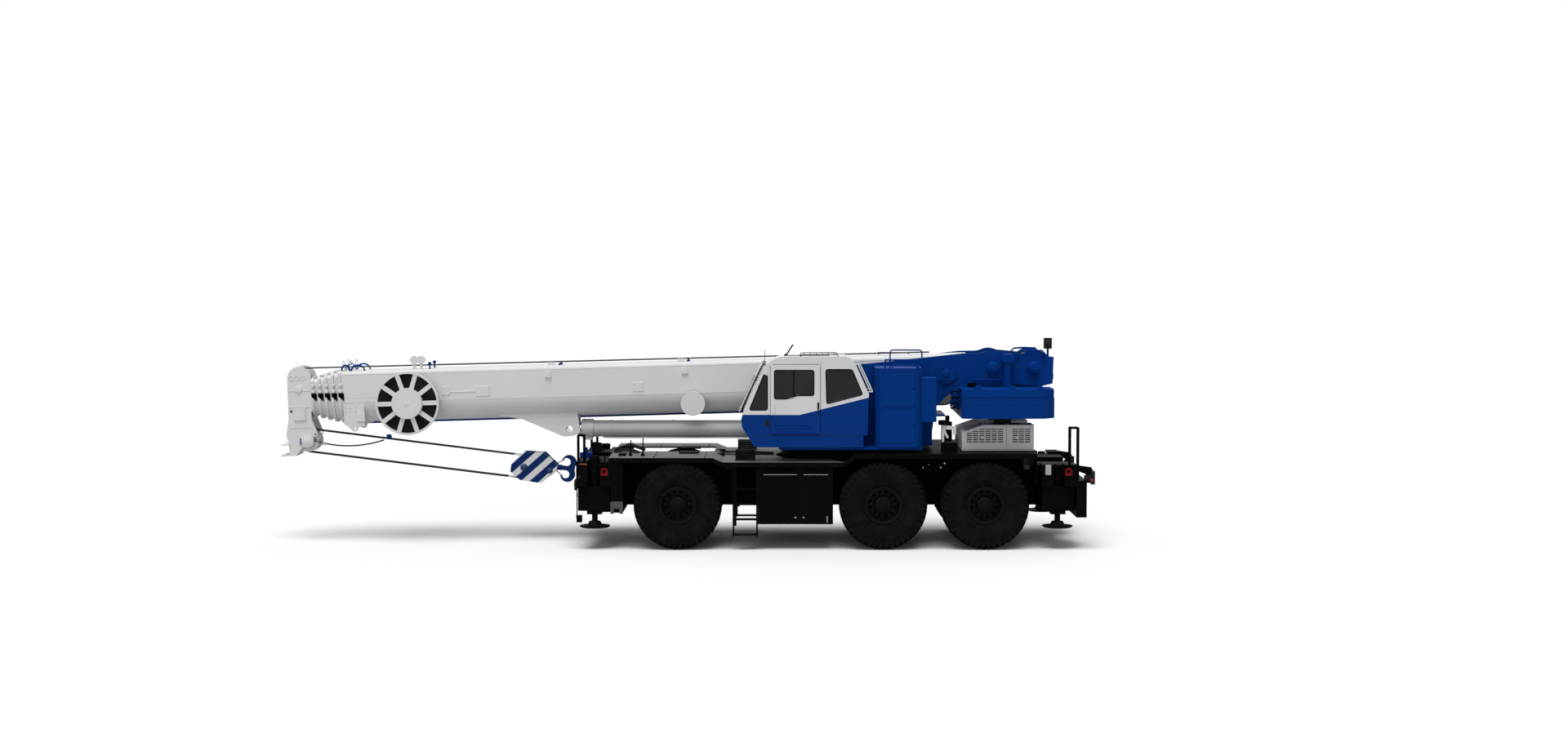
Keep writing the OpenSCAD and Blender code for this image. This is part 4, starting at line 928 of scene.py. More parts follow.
def hook_pins():
    """Caps of the block's pin and trunnion, with a screw in each."""
    s = Surface()
    for side in SIDES:
        for at, r in ((0.0, 0.075), (-0.53, 0.055)):
            u, h = HOOK_U + at * math.cos(FALL_TILT), HOOK_H + at * math.sin(FALL_TILT)
            cap = [(r, -0.01), (r, 0.018), (r * 0.8, 0.028), (r * 0.4, 0.03), (r * 0.36, 0.042), (0.0, 0.042)]
            s.lathe(cap, (u, side * 0.15, h), (0, side, 0), 24)
    return s


class CRANE_OT_boom(bpy.types.Operator):
    """Make the boom's trim: welds, collars, guides, ropes, reel, head fittings and cylinder fittings"""
    bl_idname = "crane.boom"
    bl_label = "Boom trim"

    def execute(self, context):
        m = MATERIALS
        piece("boom_welds", boom_welds(), "boom", m["white"], "boom_white", BOOM, 0.003)
        for k, (body, half, u) in enumerate(SECTIONS):
            piece("collar_pads_%d" % (k + 1), collar_trim(k, half, u), body, m["white"], "boom_white", BOOM,
                  0.003)
            # Dark sheets below each collar's pads: painted shadow
            piece("collar_painted_shadow_%d" % (k + 1), collar_shadow(k, half, u), body, m["dark"], "carrier_black",
                  BOOM)
            start = SECTIONS[k - 1][2] if k else ROPE_LINE[0][0]
            end = u if k < 4 else ROPE_LINE[0][1]
            piece("hoist_rope_%d" % (k + 1), hoist_rope(start, end, context.scene.crane_sizes.rope_radius),
                  body, m["rope"], "bare_steel", BOOM)
        dress((("rope_guides", rope_guides(), "boom", "blue", "upper_blue"),
               ("rope_hoops", white_hoops(), "boom", "white", "boom_white"),
               ("reel_cable", reel_cable(), "reel", "hose", "tyre_rubber"),
               ("reel_hub", reel_hub(), "reel", "white", "boom_white"),
               ("head_trim", head_trim(), "section_5", "white", "boom_white", 0.003),
               ("limit_cord", warning_cord(), "section_5", "seal", "tyre_rubber"),
               ("limit_weight", cord_weight(), "section_5", "blue", "upper_blue", 0.004),
               ("hook_pins", hook_pins(), "section_5", "hook_blue", "hook_paint")), BOOM)
        dress([("lift_fittings", lift_fittings(), "lift_barrel", "cylinder", "cylinder_grey")], LIFT)
        return {"FINISHED"}


# Cab


# Outlines in x and z of the door, the panes and the cab's front edge, in metres from the slewing axis
DOOR = ((-1.103, 2.305), (-0.136, 2.305), (-0.136, 3.66), (-1.103, 3.66))
DOOR_PANE = ((-1.016, 2.999), (-0.792, 2.999), (-0.567, 3.066), (-0.265, 3.066), (-0.265, 3.537),
             (-1.016, 3.537))
QUARTER_PANE = ((-1.507, 2.774), (-1.176, 2.774), (-1.176, 3.443), (-1.225, 3.459))
REAR_PANE = ((0.01, 2.897), (0.691, 3.074), (0.49, 3.551), (-0.007, 3.551))
CAB_FRONT = ((-1.682, 2.576), (-1.645, 2.712), (-1.507, 3.036), (-1.359, 3.347), (-1.25, 3.572),
             (-1.192, 3.662))
# Outer face of the cab's left side
CAB_SIDE = -1.6
# Places across the machine of both lines of guards over the cab
GUARD_Y = (-1.575, -0.675)
# Height of what lies on the cab's side where the door slides past
FLUSH = 0.0004
# Outer face of the door
DOOR_FACE = -1.634


def cab_seals(width):
    """Rubber profiles round the panes of the cab's sides and the groove round its door."""
    s = Surface()
    for pane in (QUARTER_PANE, REAR_PANE):
        ring(s, rounded(pane, 0.035), width, CAB_SIDE - FLUSH, CAB_SIDE + 0.02)
        ring(s, rounded(pane, 0.035), width, -0.67, -0.644)
    ring(s, rounded(DOOR, 0.05), 0.007, CAB_SIDE - FLUSH, CAB_SIDE + 0.003)
    ring(s, rounded(DOOR_PANE, 0.03), width, -0.67, -0.644)
    return s


def door_seals(width):
    """Rubber profile and centre bar of the door's pane, its lock and its grip's feet."""
    s = Surface()
    ring(s, rounded(DOOR_PANE, 0.03), width, DOOR_FACE - 0.005, DOOR_FACE + 0.02)
    s.block((-0.662, -0.64), (DOOR_FACE - 0.003, DOOR_FACE + 0.016), (3.045, 3.54))
    s.block((-0.185, -0.15), (DOOR_FACE - 0.012, DOOR_FACE + 0.004), (2.772, 2.916))
    s.lathe([(0.02, 0.0), (0.02, 0.01), (0.0, 0.012)], (-0.168, DOOR_FACE, 2.72), (0, -1, 0), 12)
    return s


def cab_tubes():
    """Dark rails before the windscreen, the roof's guard, wiper, aerial and marker rod."""
    s = Surface()
    front = np.array(CAB_FRONT)
    for y in GUARD_Y:
        s.tube([(x - 0.035, y, z + 0.01) for x, z in front[1:]], 0.007, 8)
        for x, z in (front[1], front[3], front[5]):
            rail(s, y, [(x + 0.01, z - 0.005), (x - 0.035, z + 0.01), (x - 0.08, z + 0.024)], 0.007)
    for y in (-1.5, -0.75):
        rail(s, y, [(-0.52, 3.806), (-0.5, 3.846), (-0.47, 3.852), (0.18, 3.858), (0.21, 3.85), (0.23, 3.81)],
             0.008)
    for x in np.linspace(-0.44, 0.16, 6):
        s.tube([(x, -1.5, 3.855), (x, -1.12, 3.855), (x, -0.75, 3.855)], 0.006, 8)
    rail(s, -1.1, [(-0.807, 3.80), (-0.735, 3.92), (-0.661, 4.031)], 0.014)
    rail(s, -1.58, [(-1.215, 3.6), (-1.215, 3.78), (-1.215, 3.95)], 0.005)
    s.lathe([(0.03, -0.01), (0.03, 0.02), (0.014, 0.05), (0.0, 0.05)], (-0.812, -1.1, 3.8), (0.2, 0, 1), 14)
    # Wiper: arm and blade before the windscreen
    s.tube([(-1.66, -1.0, 2.70), (-1.70, -1.02, 2.80), (-1.56, -1.1, 3.12), (-1.5, -1.12, 3.24)], 0.009, 8)
    rail(s, -1.12, [(-1.62, 2.96), (-1.535, 3.16), (-1.42, 3.42)], 0.012, 6)
    return s


def cab_white_tubes():
    """Pale guard rails before the windscreen and behind the rear pane."""
    s = Surface()
    front = np.array(CAB_FRONT)
    for y in GUARD_Y:
        s.tube([(x - 0.075, y, z + 0.022) for x, z in front[1:]], 0.012, 8)
        for d in (0.03, 0.07):
            rail(s, y, [(0.586 + d, 3.66), (0.70 + d, 3.42), (0.83 + d, 3.13)], 0.011)
        rail(s, y, [(0.56, 3.65), (0.60, 3.665), (0.66, 3.67)], 0.009)
        rail(s, y, [(0.80, 3.12), (0.84, 3.12), (0.905, 3.125)], 0.009)
    return s


# Ribs in the cab's lower half and in its door: front end, rear end and lower edge of each
CAB_RIBS = ([(-0.09, 0.65, 2.49 + 0.06 * i) for i in range(4)]
            + [(-1.42, -1.24, 2.42 + 0.05 * i) for i in range(4)])
DOOR_RIBS = [(-1.0, -0.3, 2.40 + 0.055 * i) for i in range(2)]


def pressed_ribs(y, high, table):
    """Ribs pressed in a blue panel: a low ridge for each."""
    s = Surface()
    for x0, x1, z in table:
        s.block((x0, x1), (y - high, y + 0.003), (z, z + 0.022))
    return s


def cab_fittings():
    """Recessed handle and screws of the cab's lower half, and the lines between its panels."""
    s = Surface()
    y = CAB_SIDE
    s.block((-1.209, -1.13), (y - 0.004, y + 0.004), (2.447, 2.576))
    s.block((-1.5, 0.8), (y - 0.0025, y + 0.003), (2.262, 2.27))
    s.block((-0.118, -0.112), (y - FLUSH, y + 0.003), (2.28, 3.72))
    s.studs([(x, y, 2.15) for x in (-1.3, -0.9, -0.5, -0.1, 0.3, 0.65)], (0, -1, 0), 0.012, 0.01)
    return s


class CRANE_OT_cab(bpy.types.Operator):
    """Make the cab's trim: seals, guards, wiper, aerial and panel lines"""
    bl_idname = "crane.cab"
    bl_label = "Cab trim"

    def execute(self, context):
        width = context.scene.crane_sizes.seal_width
        dress((("cab_seals", cab_seals(width), "upper", "seal", "tyre_rubber"),
               ("door_seals", door_seals(width), "door", "seal", "tyre_rubber"),
               ("cab_guards", cab_tubes(), "upper", "black", "carrier_black"),
               ("cab_rails", cab_white_tubes(), "upper", "white", "boom_white"),
               ("cab_ribs", pressed_ribs(CAB_SIDE, FLUSH, CAB_RIBS), "upper", "blue", "upper_blue", 0.004),
               ("door_ribs", pressed_ribs(DOOR_FACE, 0.009, DOOR_RIBS), "door", "blue", "upper_blue", 0.004),
               ("cab_fittings", cab_fittings(), "upper", "plastic", "lamp_housing", 0.002)))
        return {"FINISHED"}


# Upper part


# Axles of the two winches
WINCH_X, WINCH_Z = (3.356, 4.178), 3.55


def cabinet_lines():
    """Door gaps, locks and the oval hole of the equipment cabinets."""
    s = Surface()
    for side in SIDES:
        y = both(1.557, 1.5635, side)
        ring(s, rectangle(1.09, 1.75, 2.12, 2.8, 0.03), 0.003, *y)
        ring(s, rectangle(1.09, 1.75, 2.84, 3.52, 0.03), 0.003, *y)
        for z in (2.46, 3.18):
            s.lathe([(0.014, 0.0), (0.014, 0.006), (0.0, 0.008)], (1.71, side * 1.559, z), (0, side, 0), 12)
        t = np.linspace(0, 2 * np.pi, 16, endpoint=False)
        s.prism(np.stack([1.0 + 0.02 * np.cos(t) + 0.02, 2.524 + 0.045 * np.sin(t)], 1),
                *both(1.50, 1.521, side))
    return s


def upper_rails():
    """Blue hoops on the cabinets, the arch over the rear winch, pipes and the weight cylinders' heads."""
    s = Surface()
    # Front and rear end, foot of the rear leg, top and y of each hoop
    for x0, x1, foot, z, y in ((1.247, 1.873, 3.39, 3.94, -1.47), (1.29, 1.8, 3.57, 3.64, -1.53),
                               (1.29, 1.8, 3.57, 3.64, 1.53)):
        rail(s, y, [(x0, 3.57), (x0, z - 0.05), (x0 + 0.015, z - 0.015), (x0 + 0.05, z), ((x0 + x1) / 2, z),
                    (x1 - 0.05, z), (x1 - 0.015, z - 0.015), (x1, z - 0.05), (x1, foot)], 0.014)
    for side in SIDES:
        rail(s, side * 0.6, [(3.832, 3.70), (3.84, 3.82), (3.9, 3.885), (4.12, 3.895), (4.34, 3.885),
                             (4.4, 3.82), (4.405, 3.68)], 0.018)
        s.prism(rounded([(3.524, 3.66), (3.767, 3.66), (3.767, 3.79), (3.73, 3.826), (3.56, 3.826),
                         (3.524, 3.79)], 0.02), *both(0.60, 0.8, side))
        for i in range(3):
            z = 3.225 + 0.042 * i
            s.tube([(2.93, side * 0.63, z), (2.99, side * (0.66 + 0.02 * i), z),
                    (3.2, side * (0.66 + 0.02 * i), z + 0.005), (3.46, side * (0.66 + 0.02 * i), z),
                    (3.52, side * 0.63, z - 0.03)], 0.014, 8)
        s.prism([(2.293, 3.30), (2.57, 3.286), (2.57, 3.56), (2.53, 3.598), (2.33, 3.598), (2.293, 3.55)],
                *both(0.605, 0.63, side))
    return s


def winch_covers():
    """Bearing covers with screws beside the winches, and the foot pin's cap."""
    s = Surface()
    r = 0.128
    for side in SIDES:
        out = (0, side, 0)
        for x in WINCH_X:
            cover = [(r, -0.01), (r, 0.012), (r * 0.8, 0.03), (r * 0.45, 0.036), (r * 0.42, 0.055),
                     (0.0, 0.055)]
            s.lathe(cover, (x, side * 0.65, WINCH_Z), out, 32)
            s.studs(bolt_circle(x, side * 0.665, WINCH_Z, r * 0.84, 8), out, 0.011, 0.014)
        s.lathe([(0.08, -0.01), (0.08, 0.03), (0.055, 0.04), (0.0, 0.04)], (2.423, side * 0.62, 3.434), out,
                28)
        s.studs([(x, side * 0.63, 3.56) for x in (2.36, 2.49)], out, 0.022, 0.012)
    return s


def upper_dark():
    """Joint of the counterweight's plates, valves and hoses before it, and stops behind the winches."""
    s = Surface()
    for side in SIDES:
        s.block((2.72, 4.26), both(1.597, 1.6005, side), (2.988, 2.994))
        for i, z in enumerate((2.72, 2.82, 2.93, 3.05)):
            s.tube([(2.52, side * 0.60, z), (2.6, side * (0.66 + 0.02 * i), z + 0.03),
                    (2.72, side * (0.7 + 0.02 * i), z - 0.02), (2.82, side * 0.72, z - 0.08)], 0.016, 8)
        s.block((2.84, 3.0), both(0.62, 0.78, side), (3.17, 3.24))
    for y in (-0.3, 0.3):
        s.block((4.57, 4.60), (y - 0.05, y + 0.05), (3.3, 3.42))
    return s


def weight_trim():
    """Ledge along the counterweight, lifting lugs on its top, and the jagged bracket before it."""
    s = Surface()
    for side in SIDES:
        ledge = ((1.597, 2.87), (1.606, 2.874), (1.606, 2.882), (1.597, 2.894))
        s.prism([(side * y, z) for y, z in ledge], 2.725, 4.255, "yz")
        for x in (2.98, 3.66, 4.20):
            s.prism([(x - 0.07, 3.155), (x + 0.07, 3.155), (x + 0.045, 3.235), (x - 0.045, 3.235)],
                    *both(1.46, 1.5, side))
        s.prism([(2.53, 3.11), (2.738, 3.14), (2.738, 2.617), (2.666, 2.617), (2.65, 2.755), (2.568, 2.739),
                 (2.557, 2.81), (2.502, 2.772), (2.491, 2.838), (2.546, 2.92), (2.502, 3.028)],
                *both(0.565, 0.60, side))
    return s


def rope_winding(x):
    """Rope layers on a drum: a zigzag profile of the rope's pitch, turned about the drum's axle."""
    s = Surface()
    y = np.linspace(-0.482, 0.482, 89)
    profile = [(0.262, -0.486)] + [(0.27 + 0.011 * (i % 2), v) for i, v in enumerate(y)] + [(0.262, 0.486)]
    profile.append(profile[0])
    s.lathe(profile, (x, 0, WINCH_Z), (0, 1, 0), 40)
    return s


def rear_lamp():
    """Rim of the working lamp behind the winches."""
    s = Surface()
    s.lathe([(0.06, -0.004), (0.06, 0.012), (0.045, 0.02), (0.0, 0.022)], (4.46, -0.61, 4.03), (0, -1, 0), 24)
    return s


def walkway_rails():
    """Handrails on the right deck and the pipes beside the turntable."""
    s = Surface()
    for x in (-0.82, -0.1, 0.62):
        rail(s, 1.5, [(x, 2.02), (x, 2.5), (x, 2.98)], 0.016)
    for z in (2.5, 2.99):
        rail(s, 1.5, [(-0.84, z), (0.0, z), (0.93, z)], 0.016)
    for i in range(4):
        s.tube([(-0.25, 0.62 + 0.09 * i, 2.7), (0.3, 0.64 + 0.09 * i, 2.73), (0.85, 0.62 + 0.09 * i, 2.7)],
               0.02, 8)
    return s


class CRANE_OT_upper(bpy.types.Operator):
    """Make the superstructure's trim: cabinet lines, hoops, winch covers, windings and counterweight"""
    bl_idname = "crane.upper"
    bl_label = "Superstructure trim"

    def execute(self, context):
        dress((("cabinet_lines", cabinet_lines(), "upper", "dark", "carrier_black"),
               ("upper_rails", upper_rails(), "upper", "blue", "upper_blue"),
               ("winch_covers", winch_covers(), "upper", "blue", "upper_blue"),
               ("weight_trim", weight_trim(), "upper", "blue", "upper_blue", 0.003),
               ("upper_joints", upper_dark(), "upper", "black", "carrier_black"),
               ("rope_front_drum", rope_winding(WINCH_X[0]), "drum_front", "winding", "bare_steel"),
               ("rope_rear_drum", rope_winding(WINCH_X[1]), "drum_rear", "winding", "bare_steel"),
               ("working_lamp", rear_lamp(), "upper", "plastic", "lamp_housing"),
               ("walkway_rails", walkway_rails(), "upper", "black", "carrier_black")))
        return {"FINISHED"}


# Carrier


# Hood: front end, top of the slope, rear end, foot of the slope and top
HOOD = (2.716, 3.139, 4.152, 2.264, 2.414)
# Front and rear ends of the vents above the cabinets' doors
VENTS = ((-1.241, -0.583), (-0.454, 0.027))
# Outer face of the carrier's boxes and cabinets
SKIN = 1.62
# Place along the machine, radius and top of the front and the rear jack; distance from the middle
JACKS = ((-4.585, 0.095, 1.83), (4.573, 0.076, 1.664))
JACK_Y = 1.35
# Places of the three axles along the machine
AXLES = (-2.94, 1.12, 3.13)
# Height of the front deck; face and distance from the middle of the rear corners' lamps
DECK = 1.82
TAIL_X, TAIL_Y = 5.277, 1.54


def cabinet_doors():
    """Doors, hinges and handles of the side cabinets, posts, ribs and plates of the outrigger boxes."""
    s = Surface()
    for side in SIDES:
        for x0, x1 in ((-1.32, -0.64), (-0.59, 0.09)):
            s.prism(rectangle(x0, x1, 0.56, 1.46, 0.03), *both(SKIN - 0.003, SKIN + 0.008, side))
            for z in (0.72, 1.3):
                s.block((x0 + 0.02, x0 + 0.05), both(SKIN, SKIN + 0.016, side), (z - 0.05, z + 0.05))
            s.block((x1 - 0.12, x1 - 0.05), both(SKIN, SKIN + 0.02, side), (1.0, 1.03))
        # Posts at the corners
        s.block((4.34, 4.36), both(1.57, 1.6, side), (1.345, 1.5))
        s.block((-4.925, -4.82), both(1.5, 1.625, side), (0.55, 0.685))
        # Arm of the rear corner's lamps
        s.prism([(4.882, 1.683), (5.212, 1.635), (5.244, 1.564), (5.244, 1.323), (5.122, 1.323),
                 (5.095, 1.50), (4.924, 1.564)], *both(1.552, 1.565, side))
        # Plate beside the ladder
        s.block((-1.85, -1.775), both(SKIN - 0.01, SKIN + 0.006, side), (0.48, 1.7))
        # Rods at the front corner
        for y in (1.52, 1.6):
            rail(s, side * y, [(-4.917, 0.66), (-4.917, 0.9), (-4.917, 1.35)], 0.008, 6)
        s.block((-4.925, -4.909), both(1.5, 1.62, side), (1.05, 1.12))
        # Ribs of the outrigger housings
        for x in (-4.918, -4.252, 4.24, 4.906):
            s.block((x - 0.008, x + 0.008), both(SKIN - 0.004, SKIN + 0.012, side), (1.3, 1.68))
        s.prism(rectangle(4.915, 5.09, 0.7, 1.32, 0.02), *both(SKIN - 0.003, SKIN + 0.008, side))
        s.block((5.0, 5.05), both(SKIN, SKIN + 0.018, side), (1.0, 1.03))
    return s


def corner_plates():
    """Bolted plates with a cut on the front corners."""
    s = Surface()
    for side in SIDES:
        s.prism([(-4.255, 0.72), (-4.19, 0.72), (-4.19, 0.82), (-4.08, 0.82), (-4.08, 0.72), (-4.01, 0.72),
                 (-4.01, 0.96), (-4.255, 0.96)], *both(SKIN - 0.002, SKIN + 0.014, side))
        s.studs([(x, side * (SKIN + 0.012), z) for x in (-4.225, -4.045) for z in (0.76, 0.84, 0.92)],
                (0, side, 0), 0.013, 0.01)
    return s


def cabinet_dark():
    """Vents above the cabinets' doors and the machinery seen between the rear wheels."""
    s = Surface()
    for side in SIDES:
        for x0, x1 in VENTS:
            s.block((x0, x1), both(SKIN - 0.003, SKIN + 0.0015, side), (1.505, 1.66))
        for x0, x1, y0, y1, z0, z1 in ((1.87, 2.08, 1.2, 1.45, 1.53, 1.79),
                                       (2.17, 2.38, 1.15, 1.42, 1.56, 1.78)):
            s.block((x0, x1), both(y0, y1, side), (z0, z1))
        for i in range(4):
            s.tube([(1.89 + 0.03 * i, side * 1.3, 1.5), (2.02, side * (1.42 + 0.02 * i), 1.55 + 0.05 * i),
                    (2.2, side * (1.44 + 0.02 * i), 1.5 + 0.06 * i), (2.42, side * 1.3, 1.6 + 0.04 * i)],
                    0.014, 8)
    return s


def silver_bits():
    """Bright edges under the vents, latches, the rear corner's plate and hose fittings."""
    s = Surface()
    for side in SIDES:
        for x0, x1 in VENTS:
            s.block((x0, x1), both(SKIN - 0.002, SKIN + 0.006, side), (1.489, 1.499))
        s.block((4.30, 4.41), both(1.56, 1.63, side), (1.49, 1.69))
        for x in (-0.615, -0.454):
            s.block((x - 0.016, x + 0.016), both(SKIN + 0.004, SKIN + 0.012, side), (0.635, 0.66))
        s.block((0.0, 0.018), both(SKIN + 0.004, SKIN + 0.012, side), (0.55, 0.675))
        for x, z in ((1.9, 1.62), (2.02, 1.68), (2.25, 1.62), (2.33, 1.70)):
            s.lathe([(0.02, 0.0), (0.02, 0.02), (0.012, 0.02), (0.012, 0.045), (0.0, 0.045)],
                    (x, side * 1.43, z), (0, side, 0), 8)
    return s


def hood_trim():
    """Panel gaps and outlet grids on the hood's top, strips on its slope, gaps on its sides and its box."""
    s = Surface()
    x0, slope, x1, z0, z1 = HOOD
    y_out, y_in = 0.9, 0.28
    start, rise = np.array([x0, z0]), np.array([slope - x0, z1 - z0])
    n = np.array([-rise[1], rise[0]]) / np.linalg.norm(rise)

    def strip(p, q, span):
        """A strip from p to q that stands 2 mm above the slope and reaches 4 mm into it."""
        s.prism([p - n * 0.004, q - n * 0.004, q + n * 0.002, p + n * 0.002], *span)

    for side in SIDES:
        for x in (3.32, 3.62, 3.92):
            s.block((x - 0.004, x + 0.004), both(y_in + 0.02, y_out - 0.02, side), (z1 - 0.004, z1 + 0.002))
        for a, b in ((3.34, 3.6), (3.66, 3.9)):
            for i in range(7):
                y = 0.36 + 0.07 * i
                s.block((a + 0.02, b - 0.02), both(y, y + 0.042, side), (z1 - 0.004, z1 + 0.003))
        for k in range(4):
            y = 0.32 + 0.15 * k
            strip(start + (0.03, 0) + 0.07 * rise, start + 0.93 * rise, both(y, y + 0.006, side))
        for t in (0.35, 0.68):
            strip(start + t * rise, start + (t + 0.01) * rise, both(0.32, 0.86, side))
        s.block((x0 + 0.02, x1 - 0.02), both(y_out - 0.003, y_out + 0.0015, side), (1.925, 1.932))
        s.block((3.60, 3.605), both(y_out - 0.003, y_out + 0.0015, side), (1.95, 2.4))
    s.block((3.39, 3.74), (-0.43, -0.3), (z1 - 0.02, 2.506))
    s.tube([(3.45, -0.3, 2.46), (3.45, -0.27, 2.46), (3.45, -0.25, 2.4)], 0.02, 8)
    return s


def hood_screens():
    """Painted shade: near-black corrugated screens behind the hood's outlet slots, standing for the shade
    inside them: a zigzag in height, carried along the hood.
    """
    s = Surface()
    x0 = HOOD[0]
    z = np.linspace(1.93, 2.245, 22)
    for side in SIDES:
        front = [(side * (0.869 + 0.006 * (i % 2)), v) for i, v in enumerate(z)]
        s.prism([(side * 0.862, z[0])] + front + [(side * 0.862, z[-1])], x0 + 0.08, x0 + 1.38, "yz")
    return s


def hood_silver():
    """Latches between the slots and the grey bracket before the hood."""
    s = Surface()
    for side in SIDES:
        for x in (3.125, 3.81):
            s.lathe([(0.028, -0.004), (0.028, 0.006), (0.018, 0.012), (0.0, 0.012)], (x, side * 0.9, 2.163),
                    (0, side, 0), 16)
    s.prism([(2.30, 2.09), (2.345, 2.09), (2.345, 2.27), (2.40, 2.16), (2.44, 2.18), (2.36, 2.34),
             (2.52, 2.34), (2.52, 2.24), (2.585, 2.24), (2.585, 2.40), (2.30, 2.43)], -1.09, -1.055)
    return s


def deck_fittings():
    """Front deck: mirror on its arm, tall pins with their sockets, louvred boxes, hatches and screws."""
    s = Surface()
    s.prism(rounded([(-4.63, 1.897), (-4.435, 1.91), (-4.435, 2.11), (-4.62, 2.123)], 0.03), -1.46, -1.39)
    s.tube([(-4.38, -1.42, 1.74), (-4.38, -1.42, 1.86), (-4.40, -1.425, 1.95), (-4.5, -1.425, 2.0)], 0.014, 8)
    for x, z in ((-3.886, 2.138), (-3.643, 2.187)):
        rail(s, -1.2, [(x, DECK), (x, DECK + 0.16), (x + 0.01, z)], 0.012)
        s.lathe([(0.04, 0.0), (0.04, 0.03), (0.02, 0.06), (0.02, 0.09), (0.0, 0.09)], (x, -1.2, DECK),
                (0, 0, 1), 14)
    for y0, y1 in ((-1.35, -1.02), (1.02, 1.35)):
        blocks(s, [(-1.80, -1.785, y0, y1, 1.735, 1.935), (-1.425, -1.41, y0, y1, 1.735, 1.935),
                   (-1.80, -1.41, y0, y1, 1.925, 1.942)])
        for i in range(4):
            s.block((-1.79, -1.42), (y0 + 0.02, y1 - 0.02), (1.76 + 0.04 * i, 1.778 + 0.04 * i))
    for side in SIDES:
        s.block((-4.12, -3.98), both(0.95, 1.25, side), (DECK, DECK + 0.045))
        s.block((-2.95, -2.55), both(0.35, 0.75, side), (DECK, DECK + 0.03))
        s.studs([(x, side * y, DECK + 0.005) for x in (-3.4, -2.4) for y in (0.5, 1.0, 1.5)], (0, 0, 1), 0.02,
                0.012)
    return s


def deck_hoses():
    """Hoses in the deck's recess, each a wave along the machine, and the bundle behind the front housing."""
    s = Surface()
    x = np.linspace(-4.2, -1.05, 40)
    for i, y in enumerate((-0.15, -0.09, -0.02, 0.05, 0.12, 0.165)):
        wave = 0.022 * np.sin(2.6 * x + 1.7 * i)
        s.tube(np.stack([x, y + wave, 1.66 + 0.05 * (i % 3) + 0.02 * np.sin(1.9 * x + i)], 1), 0.019, 8)
    t = np.linspace(0, 1, 12)
    for i in range(5):
        for side in SIDES:
            s.tube(np.stack([-4.32 + 0.62 * t, side * (0.30 + 0.07 * i) + 0.03 * np.sin(6 * t),
                             1.79 + 0.09 * np.sin(np.pi * t)], 1), 0.017, 8)
    return s


def front_blue():
    """Blue box with its post at the left front corner."""
    s = Surface()
    s.block((-4.88, -4.63), (-1.31, -1.2), (1.79, 1.90))
    s.block((-4.80, -4.73), (-1.29, -1.22), (1.88, 2.0))
    return s


def lenses():
    """Amber side lamps."""
    s = Surface()
    for side in SIDES:
        s.prism(rectangle(-4.867, -4.707, 1.69, 1.712, 0.008), *both(SKIN - 0.003, SKIN + 0.012, side))
        for x in (0.6, -1.9):
            s.prism(rectangle(x, x + 0.09, 1.66 if x < 0 else 1.83, 1.69 if x < 0 else 1.86, 0.01),
                    *both(1.638, 1.649, side))
    return s


def clear_lenses():
    """Clear lenses of the head lamps and of the corners' lamps."""
    s = Surface()
    for side in SIDES:
        for y in (1.32, 1.47):
            s.lathe([(0.062, 0.0), (0.062, 0.008), (0.04, 0.016), (0.0, 0.018)], (-4.968, side * y, 1.28),
                    (-1, 0, 0), 24)
        s.lathe([(0.035, 0.0), (0.035, 0.01), (0.0, 0.014)], (-4.925, side * 1.56, 0.66), (-1, 0, 0), 16)
        s.lathe([(0.035, 0.0), (0.035, 0.01), (0.0, 0.014)], (TAIL_X, side * TAIL_Y, 1.345), (-1, 0, 0), 16)
    return s


def red_lenses():
    """Tail lamps' lenses and side reflectors."""
    s = Surface()
    for side in SIDES:
        for z in (1.41, 1.5):
            s.lathe([(0.034, -0.012), (0.034, -0.002), (0.0, -0.0005)], (TAIL_X, side * TAIL_Y, z), (1, 0, 0),
                    16)
        s.prism(rectangle(5.19, 5.24, 1.36, 1.41, 0.01), *both(1.618, 1.628, side))
    return s


def underside():
    """Drive shafts with flanges, suspension and steering cylinders, tie rods and the gearbox's end."""
    s = Surface()
    shaft = [(0.1, 0.0), (0.1, 0.05), (0.05, 0.07), (0.05, 1.0), (0.1, 1.02), (0.1, 1.07)]
    for x0, x1 in ((-2.64, -1.2), (-1.1, 0.82), (1.42, 2.83)):
        n = x1 - x0
        s.lathe([(r, v if v < 0.5 else v + n - 1.07) for r, v in shaft], (x0, 0, 0.84), (1, 0, 0), 20)
    for x in AXLES:
        for side in SIDES:
            s.lathe([(0.05, 0.0), (0.05, 0.2), (0.075, 0.22), (0.075, 0.5), (0.04, 0.53), (0.04, 0.58)],
                    (x - 0.22, side * 0.55, 0.93), (0, 0, 1), 18)
        s.tube([(x + 0.2, -0.72, 0.80), (x + 0.24, -0.5, 0.78), (x + 0.24, 0.5, 0.78), (x + 0.2, 0.72, 0.80)],
               0.028, 10)
        s.lathe([(0.05, -0.42), (0.05, 0.42)], (x + 0.31, 0, 0.86), (0, 1, 0), 16)
    s.lathe([(0.28, 0.0), (0.34, 0.04), (0.34, 0.4), (0.25, 0.46), (0.12, 0.48)], (-1.2, 0, 0.84), (1, 0, 0),
            24)
    return s


def bumpers():
    """Towing lugs with their pins, steps at the rear and plates at both ends."""
    s = Surface()
    for side in SIDES:
        for x0, x1 in ((-4.97, -4.925), (4.913, 4.96)):
            s.block((x0, x1), both(0.3, 0.36, side), (0.95, 1.15))
            s.block((x0, x1), both(0.42, 0.48, side), (0.95, 1.15))
            s.lathe([(0.022, -0.1), (0.022, 0.1)], ((x0 + x1) / 2, side * 0.39, 1.05), (0, 1, 0), 12)
        for z in (0.62, 0.9):
            s.tube([(5.117, side * 0.7, z), (5.17, side * 0.7, z), (5.17, side * 1.0, z),
                    (5.117, side * 1.0, z)], 0.014, 8)
        s.block((-4.96, -4.928), both(0.5, 0.95, side), (1.36, 1.4))
    s.block((4.914, 4.95), (-0.45, 0.45), (1.25, 1.32))
    return s


